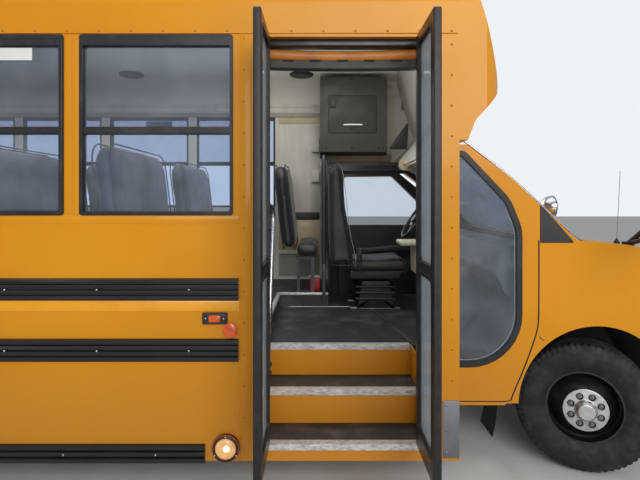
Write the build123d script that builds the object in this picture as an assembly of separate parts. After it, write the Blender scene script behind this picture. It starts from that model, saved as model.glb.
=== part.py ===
from build123d import *
import os
from math import cos, pi, sin

# A short school bus: a van's cab and nose with a wide bus body behind it.
# Millimetres. X forward, Y to the left, Z up, the ground at Z = 0.

# Overall places
FRONT_X = 3300
FRONT_AXLE_X = 2560
WHEELBASE = 4140
REAR_AXLE_X = FRONT_AXLE_X - WHEELBASE
AXLE_Z = 372

# Bus body
BODY_HALF = 1220
WALL = 40
BODY_REAR_X = -3180
REAR_X = BODY_REAR_X - 120
BODY_FRONT_X = 1700
REAR_CORNER_R = 70
REAR_PAN = 120
SKIRT_Z = 200
SPLIT_Z = 2470
ROOF_CORNER_Z = 2790
ROOF_APEX_Z = 2835
ROOF_CORNER_R = 200
ROOF_CROWN_R = 3000
HEADER_Z = 1880
LEFT_FRONT_X = 1090
INNER_HALF = BODY_HALF - WALL

# Floors
FLOOR_Z = 755
FLOOR_T = 50
LANDING_Z = 650
LANDING_T = 30
FLOOR_FRONT_X = 610
FLOOR_SILL_W = 50
# The cross sills' middles: behind and ahead of the rear wheels, and near the floor's two ends
FLOOR_SILLS = (BODY_REAR_X + 280, REAR_AXLE_X - 770, REAR_AXLE_X + 730, REAR_AXLE_X + 1330, FLOOR_FRONT_X - 210)
WHEEL_BOX_HALF = 455
WHEEL_BOX_IN = 620
WHEEL_BOX_TOP = 870
WHEEL_BOX_T = 20
TOE_X = 1990
TOE_TOP_X = 2180
PLATFORM_FRONT_X = 1040
PLATFORM_Y = 440

# Side windows
WINDOW_W = 801
WINDOW_PITCH = 885
WINDOW_FRONT_X = 514
WINDOW_END_ROOM = 180
WINDOW_COUNT = 1 + int((WINDOW_FRONT_X - WINDOW_W - BODY_REAR_X - WINDOW_END_ROOM) / WINDOW_PITCH)
WINDOW_LOW_Z = 1486
WINDOW_HIGH_Z = 2430
WINDOW_R = 14
FRAME_W = 16
FRAME_TOP_W = 56
FRAME_PROUD = 6
SASH_Z = 1930
SASH_H = 34
SASH_BACK = 5
GLASS_T = 5
SEAT_GAP = 0.3

# Entry doorway and its two leaves
DOOR_REAR_X = 610
DOOR_TOP_Z = 2420
DOOR_LOW_Z = 300
HINGE_REAR_X = 676
HINGE_FRONT_X = 1504
HINGE_OUT = 2
LEAF_T = 32
LEAF_GAP = 6
LEAF_FRAME = 46
POST_CLEAR = 14

# Steps
STEP_ONE_Z = 280
STEP_TWO_Z = 467
STEP_DEPTH = 250
STEP_T = 12
WELL_WALL_T = 12

# Hinges
PIN_R = 6
BARREL_R = 11
BARREL_H = 40
LUG_H = 14
RUN = 0.05
STACK_GAP = 0.5

# Cab
CAB_HALF = 1005
CAB_SKIN = 30
SILL_Z = 400
CUT_X = 2210
CUT_FOOT = (2050, 420)
CUT_BEND_Z = 840
BELT_Z = 1335
PILLAR_LOW = (2430, 1335)
PILLAR_MID = (2070, 1680)
PILLAR_TOP = (1790, 1890)
PILLAR_W = 105
SCREEN_T = 6
ARCH_X = 2545
ARCH_Z = 400
ARCH_R = 448
REAR_ARCH_Z = 410
REAR_ARCH_R = 470
NOSE_X = 3190
NOSE_LOW_Z = 646
BUMPER_END_X = FRONT_X - 225
HOOD_HALF = 800
HOOD_REAR_X = 2500
HOOD_FRONT_X = 3120
PANEL_GAP = 6
TALL_GLASS = ((1725, 615), (2118, 615), (2118, 1400), (2050, 1570), (1790, 1845), (1725, 1845))
TALL_GLASS_R = (20, 300, 250, 250, 50, 20)

# Driver's door, on the left
DRIVER_REAR_X = 1130
DRIVER_LOW_Z = 425
DRIVER_T = 60
DRIVER_SILL_Z = 1310

# Wheels
TYRE_R = 372
TYRE_W = 225
BEAD_R = 203
FLANGE_R = 218
RIM_W = 168
RIM_T = 7
FIT = 0.3
FRONT_TRACK_HALF = 902
FRONT_STAND = 110
INNER_TWIN_Y = 780
OUTER_TWIN_Y = 1070
BOLT_PCD = 165.1
LUG_HOLES = 8
LUG_HOLE_R = 20
HUB_R = 119
HAND_HOLES = 8
HAND_HOLE_R = 16
TWIN_BORE_R = 60
AXLE_SHAFT_R = 32
SPINDLE_R = 28
HUB_BARREL_R = 62
CAP_DOME_R = 54
CAP_DOME_H = 44
KINGPIN_Y = 780
KINGPIN_R = 15
STEER_REST = 20

# Chassis
RAIL_OUT = 430
RAIL_W = 65
RAIL_H = 150
RAIL_T = 8
RAIL_LOW_Z = 450
RAIL_FRONT_X = 3150
RAIL_REAR_X = BODY_REAR_X - 10
# The cross-members' middles: at the rails' ends, round the rear wheels and under the floor's front
CROSS_MEMBERS = (RAIL_REAR_X + 90, REAR_AXLE_X - 570, REAR_AXLE_X + 580, FLOOR_FRONT_X - 610, FLOOR_FRONT_X + 290,
                 FLOOR_FRONT_X + 640, RAIL_FRONT_X - 200)
MEMBER_W = 60
MEMBER_H = 40

# Rails on the body sides
# Low and high Z, ribs and front end of each rail on the right side
RIBBED_RAILS = ((1040, 1156, 4, 544), (720, 840, 4, 544), (190, 290, 3, 370))
LEFT_SHIFT = LEFT_FRONT_X - DOOR_REAR_X
RAIL_BASE = 6
RIB_OUT = 12

# Seats
SEAT_PITCH = 710
SEAT_FRONT_X = 330
SEAT_DEPTH = 400
SEAT_TOP_Z = 1185
CUSHION_T = 120
CUSHION_R = 40
SEAT_BACK_TOP_Z = 1890
SEAT_BACK_T = 120
BACK_OVERLAP = 60
BACK_LEAN = 90
SEAT_AISLE_Y = 190
SEAT_WALL_GAP = 12
SEAT_REAR_GAP = 20
SEAT_REACH = SEAT_DEPTH - BACK_OVERLAP + SEAT_BACK_T + BACK_LEAN
SEAT_ROOM = SEAT_FRONT_X - SEAT_REACH - BODY_REAR_X - WALL - SEAT_REAR_GAP
SEAT_ROWS = 1 + int(SEAT_ROOM / SEAT_PITCH)
FIRST_SEAT_X = 965
FIRST_SEAT_DEPTH = 205
FIRST_AISLE_Y = 440
LEG_W = 28
LEG_IN = 62

# Mirrors, whose reach is that of the open doors
LEAF_START = 3
LEAF_W = (HINGE_FRONT_X - HINGE_REAR_X - 2 * LEAF_START - LEAF_GAP) / 2
OPEN_REACH = BODY_HALF + HINGE_OUT + LEAF_START + LEAF_W


def block(x, y, z):
    """A box between a low and a high limit along each axis."""
    sizes = [high - low for low, high in (x, y, z)]
    middles = [(high + low) / 2 for low, high in (x, y, z)]
    return Pos(*middles) * Box(*sizes)


def outline(points, radii=0):
    """A closed face through the points, each corner rounded by its radius."""
    return make_face(FilletPolyline(*points, radius=radii, close=True))


def along_x(face, low, high):
    """Extrudes a face drawn in (Y, Z) from X = low to X = high."""
    plane = Plane(origin=(low, 0, 0), x_dir=(0, 1, 0), z_dir=(1, 0, 0))
    return extrude(plane * face, amount=high - low)


def along_y(face, low, high):
    """Extrudes a face drawn in (X, Z) from Y = low to Y = high."""
    plane = Plane(origin=(0, low, 0), x_dir=(1, 0, 0), z_dir=(0, -1, 0))
    return extrude(plane * face, amount=low - high)


def along_z(face, low, high):
    """Extrudes a face drawn in (X, Y) from Z = low to Z = high."""
    return extrude(Pos(0, 0, low) * face, amount=high - low)


def rod(start, end, radius):
    """A round bar from one point to another."""
    start, end = Vector(*start), Vector(*end)
    run = end - start
    return extrude(Plane(origin=start, z_dir=run) * Circle(radius), amount=run.length)


def tube(points, radii, radius):
    """A round bar along a path with rounded corners."""
    path = FilletPolyline(*points, radius=radii)
    start = Plane(origin=path @ 0, z_dir=path % 0)
    return sweep(start * Circle(radius), path)


def flip(shape):
    """The same shape on the other side of the bus."""
    return mirror(shape, about=Plane.XZ)


def joined(shapes):
    """One shape from several that touch."""
    shapes = list(shapes)
    result = shapes[0]
    for shape in shapes[1:]:
        result = result + shape
    return result


def group(shapes):
    """Several solids that do not touch, kept as one node."""
    solids = []
    for shape in shapes:
        solids.extend(shape.solids())
    return Compound(children=solids)


def hinge(x, y, levels, fixed_to, moving_to):
    """An upright hinge: returns its fixed lugs and pins, and its moving barrels.

    fixed_to and moving_to are the (x, y) points that the arms reach to at rest.
    """
    fixed, moving = [], []
    reach = BARREL_H / 2 + STACK_GAP
    for level in levels:
        fixed.append(rod((x, y, level - reach - LUG_H), (x, y, level + reach + LUG_H), PIN_R))
        for low in (level - reach - LUG_H, level + reach):
            fixed.append(rod((x, y, low), (x, y, low + LUG_H), BARREL_R))
            fixed.append(arm((x, y), fixed_to, low, low + LUG_H))
        low = level - BARREL_H / 2
        barrel = rod((x, y, low), (x, y, low + BARREL_H), BARREL_R)
        barrel = barrel + arm((x, y), moving_to, low, low + BARREL_H)
        moving.append(barrel - rod((x, y, low), (x, y, low + BARREL_H), PIN_R + RUN))
    return fixed, moving


def arm(start, end, low, high, width=10):
    """A flat bar on edge from one (x, y) point to another."""
    run = Vector(end[0] - start[0], end[1] - start[1], 0)
    middle = ((start[0] + end[0]) / 2, (start[1] + end[1]) / 2, (low + high) / 2)
    plane = Plane(origin=middle, x_dir=run, z_dir=(0, 0, 1))
    return plane * Box(run.length, width, high - low)


def turned(shape, x, y, degrees):
    """Turns a shape about an upright line."""
    return Pos(x, y, 0) * Rot(0, 0, degrees) * Pos(-x, -y, 0) * shape


# Bus body

def body_section(inset, base_z):
    """The body's cross-section above base_z, moved inwards by inset."""
    half = BODY_HALF - inset
    corner_z = ROOF_CORNER_Z - inset
    points = [(-half, base_z), (-half, corner_z), (0, ROOF_APEX_Z - inset), (half, corner_z), (half, base_z)]
    corner_r = ROOF_CORNER_R - inset
    return outline(points, [0, corner_r, ROOF_CROWN_R, corner_r, 0])


def window_spans():
    """The X limits of the side windows that both sides have, front to rear."""
    spans = []
    for index in range(WINDOW_COUNT):
        front = WINDOW_FRONT_X - index * WINDOW_PITCH
        spans.append((front - WINDOW_W, front))
    return spans


def window_outline(span, inset=0, top_inset=0):
    """A side window's outline in (X, Z), moved inwards by inset and lower at the top by top_inset."""
    low, high = span[0] + inset, span[1] - inset
    bottom, top = WINDOW_LOW_Z + inset, WINDOW_HIGH_Z - max(inset, top_inset)
    return outline([(low, bottom), (high, bottom), (high, top), (low, top)], max(WINDOW_R - inset, 5))


def rear_arch(extra=0):
    """The rear wheel arch's round cutter."""
    start, end = (REAR_AXLE_X, -2 * BODY_HALF, REAR_ARCH_Z), (REAR_AXLE_X, 2 * BODY_HALF, REAR_ARCH_Z)
    return rod(start, end, REAR_ARCH_R + extra)


def side_wall(face, spans):
    """A right-hand side wall with its windows and rear arch cut."""
    wall = along_y(face, -BODY_HALF, -INNER_HALF)
    for span in spans:
        wall = wall - along_y(window_outline(span), -BODY_HALF - 1, -INNER_HALF + 1)
    return wall - rear_arch()


def make_side_right():
    rear = BODY_REAR_X + REAR_PAN
    points = [(rear, SKIRT_Z), (DOOR_REAR_X, SKIRT_Z), (DOOR_REAR_X, SPLIT_Z), (rear, SPLIT_Z)]
    return side_wall(outline(points), window_spans())


def make_side_left():
    rear = BODY_REAR_X + REAR_PAN
    points = [(rear, SKIRT_Z), (LEFT_FRONT_X, SKIRT_Z), (LEFT_FRONT_X, HEADER_Z),
              (BODY_FRONT_X, HEADER_Z), (BODY_FRONT_X, SPLIT_Z), (rear, SPLIT_Z)]
    wall = flip(side_wall(outline(points), window_spans()))
    return wall + stop_arm_base()


def make_entry_portal():
    """The doorway's surround: rear jamb, header and front post, with the leaves' hinge lugs."""
    outer = block((DOOR_REAR_X, BODY_FRONT_X), (-BODY_HALF, -INNER_HALF), (SKIRT_Z, SPLIT_Z))
    rear_jamb_x = HINGE_REAR_X - POST_CLEAR
    front_jamb_x = HINGE_FRONT_X + POST_CLEAR
    opening = block((rear_jamb_x, front_jamb_x), (-BODY_HALF - 1, -INNER_HALF + 1), (STEP_ONE_Z - STEP_T, DOOR_TOP_Z))
    portal = outer - opening
    for x, jamb in ((HINGE_REAR_X, rear_jamb_x), (HINGE_FRONT_X, front_jamb_x)):
        fixed, moving = hinge(x, -BODY_HALF - HINGE_OUT, leaf_levels(), (jamb, -BODY_HALF + 5), (x, -BODY_HALF))
        portal = joined([portal] + fixed)
    return portal


def leaf_levels():
    return (DOOR_LOW_Z + 150, (DOOR_LOW_Z + DOOR_TOP_Z) / 2, DOOR_TOP_Z - 150)


def leaf_closed(direction, hinge_x):
    """A leaf's frame and its glass with the door shut, running from its hinge."""
    near = hinge_x + direction * LEAF_START
    far = near + direction * LEAF_W
    low_x, high_x = min(near, far), max(near, far)
    y_limits = (-BODY_HALF, -BODY_HALF + LEAF_T)
    frame = block((low_x, high_x), y_limits, (DOOR_LOW_Z, DOOR_TOP_Z - LEAF_GAP))
    panes = []
    middle = (DOOR_LOW_Z + DOOR_TOP_Z) / 2 - 130
    inner_x = (low_x + LEAF_FRAME, high_x - LEAF_FRAME)
    for bottom, top in ((DOOR_LOW_Z + LEAF_FRAME * 2, middle - LEAF_FRAME / 2),
                        (middle + LEAF_FRAME / 2, DOOR_TOP_Z - LEAF_GAP - LEAF_FRAME)):
        corners = [(inner_x[0], bottom), (inner_x[1], bottom), (inner_x[1], top), (inner_x[0], top)]
        frame = frame - along_y(outline(corners, 40), y_limits[0] - 1, y_limits[1] + 1)
        inner = [(inner_x[0] + FIT, bottom + FIT), (inner_x[1] - FIT, bottom + FIT),
                 (inner_x[1] - FIT, top - FIT), (inner_x[0] + FIT, top - FIT)]
        centre_y = -BODY_HALF + LEAF_T / 2
        panes.append(along_y(outline(inner, 40), centre_y - GLASS_T / 2, centre_y + GLASS_T / 2))
    hinge_y = -BODY_HALF - HINGE_OUT
    fixed, moving = hinge(hinge_x, hinge_y, leaf_levels(), (hinge_x, hinge_y + 1), (near + direction * 12, -BODY_HALF + 4))
    reach = BARREL_H / 2 + STACK_GAP + LUG_H + 1
    for level in leaf_levels():
        frame = frame - rod((hinge_x, hinge_y, level - reach), (hinge_x, hinge_y, level + reach), BARREL_R + 5)
    return joined([frame] + moving), panes


def leaf_open(direction, hinge_x):
    """The same leaf standing open, as it is stored."""
    frame, panes = leaf_closed(direction, hinge_x)
    hinge_y = -BODY_HALF - HINGE_OUT
    turn = -90 * direction
    return turned(frame, hinge_x, hinge_y, turn), [turned(pane, hinge_x, hinge_y, turn) for pane in panes]


def make_entry_leaf_rear():
    return leaf_open(1, HINGE_REAR_X)[0]


def make_entry_leaf_front():
    return leaf_open(-1, HINGE_FRONT_X)[0]


def make_entry_glass_rear():
    return group(leaf_open(1, HINGE_REAR_X)[1])


def make_entry_glass_front():
    return group(leaf_open(-1, HINGE_FRONT_X)[1])


def make_roof():
    """The roof's arched shell, from the rear pan to the front cap."""
    rear = BODY_REAR_X + REAR_PAN
    outer = along_x(body_section(0, SPLIT_Z), rear, BODY_FRONT_X)
    inner = along_x(body_section(WALL, SPLIT_Z - 1), rear - 1, BODY_FRONT_X + 1)
    return outer - inner


REAR_BASE_Z = 605
REAR_DOOR_HALF = 380
REAR_DOOR_TOP_Z = 2300
REAR_DOOR_T = 36
REAR_WINDOW = (520, 1010, 1486, 2150)


def rear_door_outline(inset=0):
    half = REAR_DOOR_HALF - inset
    low, top = FLOOR_Z + inset, REAR_DOOR_TOP_Z - inset
    return outline([(-half, low), (half, low), (half, top), (-half, top)], 60 - min(inset, 50))


def make_rear_wall():
    """The rear end: a shallow pan with rounded edges, the emergency doorway and two windows."""
    outer = along_x(body_section(0, REAR_BASE_Z), BODY_REAR_X, BODY_REAR_X + REAR_PAN)
    rim = outer.faces().sort_by(Axis.X)[0].edges()
    rim = [edge for edge in rim if edge.center().Z > REAR_BASE_Z + 1]
    outer = fillet(rim, REAR_CORNER_R)
    inner = along_x(body_section(WALL, REAR_BASE_Z - 1), BODY_REAR_X + WALL, BODY_REAR_X + REAR_PAN + 1)
    wall = outer - inner
    through = (BODY_REAR_X - 1, BODY_REAR_X + WALL + 1)
    wall = wall - along_x(rear_door_outline(), *through)
    low_y, high_y, low_z, high_z = REAR_WINDOW
    for side in (-1, 1):
        points = [(side * low_y, low_z), (side * high_y, low_z), (side * high_y, high_z), (side * low_y, high_z)]
        wall = wall - along_x(outline(points, WINDOW_R), *through)
    return joined([wall] + rear_hinge()[0])


REAR_HINGE_Y = -REAR_DOOR_HALF - 4
REAR_HINGE_X = BODY_REAR_X - 13
REAR_LEVELS = (1000, 1550, 2100)


def rear_hinge():
    return hinge(REAR_HINGE_X, REAR_HINGE_Y, REAR_LEVELS,
                 (BODY_REAR_X + 10, REAR_HINGE_Y - 22), (BODY_REAR_X + 10, REAR_HINGE_Y + 24))


def make_rear_door():
    """The emergency door, with an upper and a lower window opening and its outside handle."""
    face_x = (BODY_REAR_X + 1, BODY_REAR_X + 1 + REAR_DOOR_T)
    door = along_x(rear_door_outline(PANEL_GAP), *face_x)
    for low, high in REAR_PANES:
        door = door - along_x(pane_outline(low, high), face_x[0] - 1, face_x[1] + 1)
    handle = rod((face_x[0] - 45, 300, 1300), (face_x[0] - 45, 140, 1300), 9)
    stub = rod((face_x[0] - 45, 290, 1300), (face_x[0] + 5, 290, 1300), 9)
    return joined([door, handle + stub] + rear_hinge()[1])


REAR_PANES = ((860, 1330), (1440, 2200))


def pane_outline(low, high, inset=0):
    half = REAR_DOOR_HALF - 80 - inset
    return outline([(-half, low + inset), (half, low + inset), (half, high - inset), (-half, high - inset)], 50 - inset)


def make_rear_door_glass():
    middle = BODY_REAR_X + 1 + REAR_DOOR_T / 2
    return group(along_x(pane_outline(low, high, FIT), middle - GLASS_T / 2, middle + GLASS_T / 2)
                 for low, high in REAR_PANES)


def window_frame(span):
    """A black window frame with its sash bar, seated in the wall's opening."""
    outer_y, inner_y = -BODY_HALF - FRAME_PROUD, -INNER_HALF
    frame = along_y(window_outline(span, SEAT_GAP), outer_y, inner_y)
    frame = frame - along_y(window_outline(span, FRAME_W, FRAME_TOP_W), outer_y - 1, inner_y + 1)
    bar = block((span[0] + FRAME_W - 2, span[1] - FRAME_W + 2), (outer_y + SASH_BACK, inner_y - SASH_BACK),
                (SASH_Z - SASH_H / 2, SASH_Z + SASH_H / 2))
    return frame + bar


def window_panes(span):
    """The upper and lower panes in one window frame."""
    middle = -BODY_HALF + WALL / 2
    face = window_outline(span, FRAME_W + FIT, FRAME_TOP_W + FIT)
    sheet = along_y(face, middle - GLASS_T / 2, middle + GLASS_T / 2)
    gap = block((span[0], span[1]), (-BODY_HALF, -INNER_HALF), (SASH_Z - SASH_H / 2 - FIT, SASH_Z + SASH_H / 2 + FIT))
    return sheet - gap


def make_window_frames():
    return group(both_sides(window_frame(span) for span in window_spans()))


def make_window_glass():
    panes = both_sides(window_panes(span) for span in window_spans())
    low_y, high_y, low_z, high_z = REAR_WINDOW
    middle = BODY_REAR_X + WALL / 2
    for side in (-1, 1):
        low, high = low_y + FIT, high_y - FIT
        points = [(side * low, low_z + FIT), (side * high, low_z + FIT),
                  (side * high, high_z - FIT), (side * low, high_z - FIT)]
        panes.append(along_x(outline(points, WINDOW_R), middle - GLASS_T / 2, middle + GLASS_T / 2))
    panes.append(make_cab_side_glass())
    return group(panes)


CAP_FRONT_X = 1950
CAP_NOSE_Z = 2160
CAP_FOOT_X = 1745
CAP_CHIN_X = 1785
CAP_CHIN_Z = 1985
CAP_BROW_X = 1812
CAP_BROW_Z = 2610
CAP_TOP_Z = 2900
CAP_PLAN_LEAD = 5
CAP_PLAN_R = 222
CAP_SPARE = 30
CAP_T = 25

def cap_solid(inset):
    """The front roof cap as a full solid: side profile, plan and cross-section together."""
    points = [(BODY_FRONT_X, HEADER_Z), (CAP_FOOT_X - inset, HEADER_Z), (CAP_CHIN_X - inset, CAP_CHIN_Z),
              (CAP_FRONT_X - inset, CAP_NOSE_Z), (CAP_BROW_X - inset, CAP_BROW_Z), (BODY_FRONT_X, CAP_TOP_Z)]
    half = BODY_HALF + CAP_SPARE
    side = along_y(outline(points, [0, 0, 70, 90, 200, 0]), -half, half)
    front = CAP_FRONT_X + CAP_PLAN_LEAD - inset
    corner_r = CAP_PLAN_R - inset
    plan = [(BODY_FRONT_X, -half), (front, -half), (front, half), (BODY_FRONT_X, half)]
    plan = along_z(outline(plan, [0, corner_r, corner_r, 0]), HEADER_Z - CAP_SPARE, CAP_TOP_Z)
    section = along_x(body_section(inset, HEADER_Z - CAP_SPARE), BODY_FRONT_X, CAP_FRONT_X + CAP_SPARE)
    return side & plan & section


def make_front_cap():
    """The moulded cap over the cab, hollow and open behind and below."""
    return cap_solid(0) - Pos(-1, 0, -1) * cap_solid(CAP_T)


def make_floor():
    """The passenger floor on its cross sills, with a box over each pair of rear wheels."""
    rear = BODY_REAR_X + WALL + 1
    plate = block((rear, FLOOR_FRONT_X), (-INNER_HALF, INNER_HALF), (FLOOR_Z - FLOOR_T, FLOOR_Z))
    shapes = [plate]
    for x in FLOOR_SILLS:
        sill_x = (x - FLOOR_SILL_W / 2, x + FLOOR_SILL_W / 2)
        shapes.append(block(sill_x, (-INNER_HALF, INNER_HALF), (RAIL_LOW_Z + RAIL_H, FLOOR_Z - FLOOR_T)))
    floor = joined(shapes)
    well_x = (REAR_AXLE_X - WHEEL_BOX_HALF, REAR_AXLE_X + WHEEL_BOX_HALF)
    shell_x = (well_x[0] - WHEEL_BOX_T, well_x[1] + WHEEL_BOX_T)
    for side in (-1, 1):
        well_y = sorted((side * (WHEEL_BOX_IN + WHEEL_BOX_T), side * (INNER_HALF + 1)))
        shell_y = sorted((side * WHEEL_BOX_IN, side * INNER_HALF))
        hump = block(shell_x, shell_y, (FLOOR_Z - FLOOR_T, WHEEL_BOX_TOP))
        hollow = block(well_x, well_y, (FLOOR_Z - FLOOR_T - 1, WHEEL_BOX_TOP - WHEEL_BOX_T))
        floor = (floor + hump) - hollow
    return floor


DOOR_X = (HINGE_REAR_X - POST_CLEAR, HINGE_FRONT_X + POST_CLEAR)
WELL_X = (HINGE_REAR_X - POST_CLEAR - 40, HINGE_FRONT_X + POST_CLEAR + 30)


def make_stepwell():
    """The entry steps: treads and risers of folded sheet between two side walls."""
    low_x, high_x = WELL_X
    face_y = -INNER_HALF
    edge_two = -BODY_HALF + STEP_DEPTH
    edge_three = -BODY_HALF + 2 * STEP_DEPTH
    points = [(face_y, STEP_ONE_Z - STEP_T), (edge_two + STEP_T, STEP_ONE_Z - STEP_T),
              (edge_two + STEP_T, STEP_TWO_Z - STEP_T), (edge_three + STEP_T, STEP_TWO_Z - STEP_T),
              (edge_three + STEP_T, LANDING_Z), (edge_three, LANDING_Z), (edge_three, STEP_TWO_Z),
              (edge_two, STEP_TWO_Z), (edge_two, STEP_ONE_Z), (face_y, STEP_ONE_Z)]
    steps = along_x(outline(points), low_x, high_x)
    walls = []
    for x in (low_x, high_x - WELL_WALL_T):
        walls.append(block((x, x + WELL_WALL_T), (face_y, edge_three + STEP_T), (STEP_ONE_Z - STEP_T, LANDING_Z)))
    sill = block((DOOR_X[0] + FIT, DOOR_X[1] - FIT), (-BODY_HALF, face_y), (STEP_ONE_Z - STEP_T, STEP_ONE_Z))
    return joined([steps, sill] + walls)


def make_step_treads():
    """Dark treads laid on each step behind its nosing."""
    treads = []
    for front, depth, z, low_x, high_x in step_table():
        treads.append(block((low_x, high_x), (front + 50, front + depth - 1), (z, z + 4)))
    return group(treads)


def step_table():
    """Each tread's front edge, depth, height and X limits."""
    well = (WELL_X[0] + WELL_WALL_T + 1, WELL_X[1] - WELL_WALL_T - 1)
    return ((-BODY_HALF, STEP_DEPTH, STEP_ONE_Z, DOOR_X[0] + 1, DOOR_X[1] - 1),
            (-BODY_HALF + STEP_DEPTH, STEP_DEPTH, STEP_TWO_Z, *well),
            (-BODY_HALF + 2 * STEP_DEPTH, 600, LANDING_Z, *well))


def make_step_nosings():
    strips = []
    for front, depth, z, low_x, high_x in step_table():
        strip = block((low_x, high_x), (front - 3, front + 49), (z, z + 6))
        lip = block((low_x, high_x), (front - 3, front), (z - 22, z + 6))
        ribs = [block((low_x, high_x), (front + 6 + 10 * index, front + 10 + 10 * index), (z + 6, z + 8))
                for index in range(4)]
        strips.append(joined([strip, lip] + ribs))
    return group(strips)


def make_cab_floor():
    """The van's floor beside and behind the driver, open over the steps and the engine cover."""
    face_y = -BODY_HALF + 2 * STEP_DEPTH + STEP_T
    points = [(FLOOR_FRONT_X, face_y), (TOE_X, face_y), (TOE_X, CAB_HALF - DRIVER_T - 10),
              (FLOOR_FRONT_X, CAB_HALF - DRIVER_T - 10)]
    plate = along_z(outline(points), LANDING_Z - LANDING_T, LANDING_Z)
    plate = plate + block((FLOOR_FRONT_X, LEFT_FRONT_X - WALL), (CAB_HALF - DRIVER_T - 11, INNER_HALF),
                          (LANDING_Z - LANDING_T, LANDING_Z))
    riser = block((FLOOR_FRONT_X, FLOOR_FRONT_X + 10), (face_y, INNER_HALF), (LANDING_Z - LANDING_T, FLOOR_Z))
    platform = block((FLOOR_FRONT_X, PLATFORM_FRONT_X), (PLATFORM_Y, INNER_HALF), (LANDING_Z - LANDING_T, FLOOR_Z))
    sills = [block((x, x + 40), (-RAIL_OUT, RAIL_OUT), (RAIL_LOW_Z + RAIL_H, LANDING_Z - LANDING_T))
             for x in (900, 1500)]
    toe_points = [(TOE_X - 10, LANDING_Z - LANDING_T), (TOE_X, LANDING_Z - LANDING_T), (TOE_TOP_X, FIREWALL_LOW_Z),
                  (TOE_TOP_X, FIREWALL_LOW_Z + FIREWALL_T), (TOE_X - 10, LANDING_Z)]
    toe = along_y(outline(toe_points), -CAB_HALF + 40, CAB_HALF - DRIVER_T - 10)
    tunnel = block((COVER_REAR_X, 2300), (-COVER_HALF - 1, COVER_HALF + 1), (RAIL_LOW_Z, COVER_TOP_Z + 120))
    floor = joined([plate, riser, platform, toe] + sills)
    return joined([floor, make_firewall()]) - tunnel


COVER_REAR_X = 1780
COVER_SLOPE = 80
COVER_HALF = 330
COVER_TOP_Z = 1080
COVER_T = 18


def make_engine_cover():
    """The cover over the engine between the front seats, open in front and below."""
    low, high = COVER_REAR_X, FIREWALL_X
    points = [(low, LANDING_Z), (high, LANDING_Z), (high, COVER_TOP_Z), (low + COVER_SLOPE, COVER_TOP_Z)]
    outer = along_y(outline(points, [0, 0, 0, 60]), -COVER_HALF, COVER_HALF)
    t = COVER_T
    inner_points = [(low + t, LANDING_Z - 1), (high + 1, LANDING_Z - 1), (high + 1, COVER_TOP_Z - t),
                    (low + COVER_SLOPE + t, COVER_TOP_Z - t)]
    return outer - along_y(outline(inner_points, [0, 0, 0, 50]), -COVER_HALF + t, COVER_HALF - t)


# Cab

def arch(extra=0):
    return rod((ARCH_X, -2 * BODY_HALF, ARCH_Z), (ARCH_X, 2 * BODY_HALF, ARCH_Z), ARCH_R + extra)


def pillar_profile(outside, inside):
    """The screen pillar's side profile between two offsets below its outer line."""
    corners = (PILLAR_LOW, PILLAR_MID, PILLAR_TOP)
    outer = [(x - outside * 0.7, z - outside * 0.72) for x, z in corners]
    inner = [(x - inside * 0.7, z - inside * 0.72) for x, z in reversed(corners)]
    return outline(outer + inner, [0, 600, 0, 0, 600, 0])


def side_skin(points, radii=0):
    return along_y(outline(points, radii), -CAB_HALF, -CAB_HALF + CAB_SKIN)


def make_cab_side_right():
    """The cab's fixed right side, with its tall glass opening and screen pillar."""
    points = [(BODY_FRONT_X, SILL_Z), (CUT_FOOT[0] - 35, SILL_Z), CUT_FOOT, (CUT_X, CUT_BEND_Z), (CUT_X, BELT_Z),
              PILLAR_LOW, PILLAR_MID, (PILLAR_TOP[0] - 10, HEADER_Z), (BODY_FRONT_X, HEADER_Z)]
    skin = side_skin(points, [0, 0, 0, 120, 0, 0, 300, 0, 0]) - arch()
    skin = skin - along_y(outline(TALL_GLASS, TALL_GLASS_R), -CAB_HALF - 1, -CAB_HALF + CAB_SKIN + 1)
    pillar = along_y(pillar_profile(0, 60), -CAB_HALF, -CAB_HALF + PILLAR_W)
    pillar = pillar & block((BODY_FRONT_X, FRONT_X), (-BODY_HALF, BODY_HALF), (BELT_Z, HEADER_Z))
    pillar = pillar - along_y(outline(TALL_GLASS, TALL_GLASS_R), -CAB_HALF - 1, -CAB_HALF + CAB_SKIN + 60)
    return skin + pillar


def make_cab_side_left():
    """The left side's door surround: sill, screen pillar and lock pillar, with the door's hinge lugs."""
    sill = side_skin([(DRIVER_REAR_X - 35, SILL_Z - 60), (2020, SILL_Z - 60), (2020, DRIVER_LOW_Z - PANEL_GAP),
                      (DRIVER_REAR_X - 35, DRIVER_LOW_Z - PANEL_GAP)]) - arch()
    post = side_skin([(DRIVER_REAR_X - 35, SILL_Z - 60), (DRIVER_REAR_X - PANEL_GAP, SILL_Z - 60),
                      (DRIVER_REAR_X - PANEL_GAP, HEADER_Z), (DRIVER_REAR_X - 35, HEADER_Z)])
    pillar = along_y(pillar_profile(0, 60), -CAB_HALF, -CAB_HALF + PILLAR_W)
    pillar = pillar & block((BODY_FRONT_X, FRONT_X), (-BODY_HALF, BODY_HALF), (BELT_Z, HEADER_Z))
    header = block((DRIVER_REAR_X - 35, BODY_FRONT_X + 100), (-CAB_HALF + DRIVER_T + 5, -CAB_HALF + DRIVER_T + 45),
                   (HEADER_Z - 40, HEADER_Z))
    left, right = cab_transition()
    return flip(group([joined([sill, post, header, pillar, left]), right]))


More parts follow.
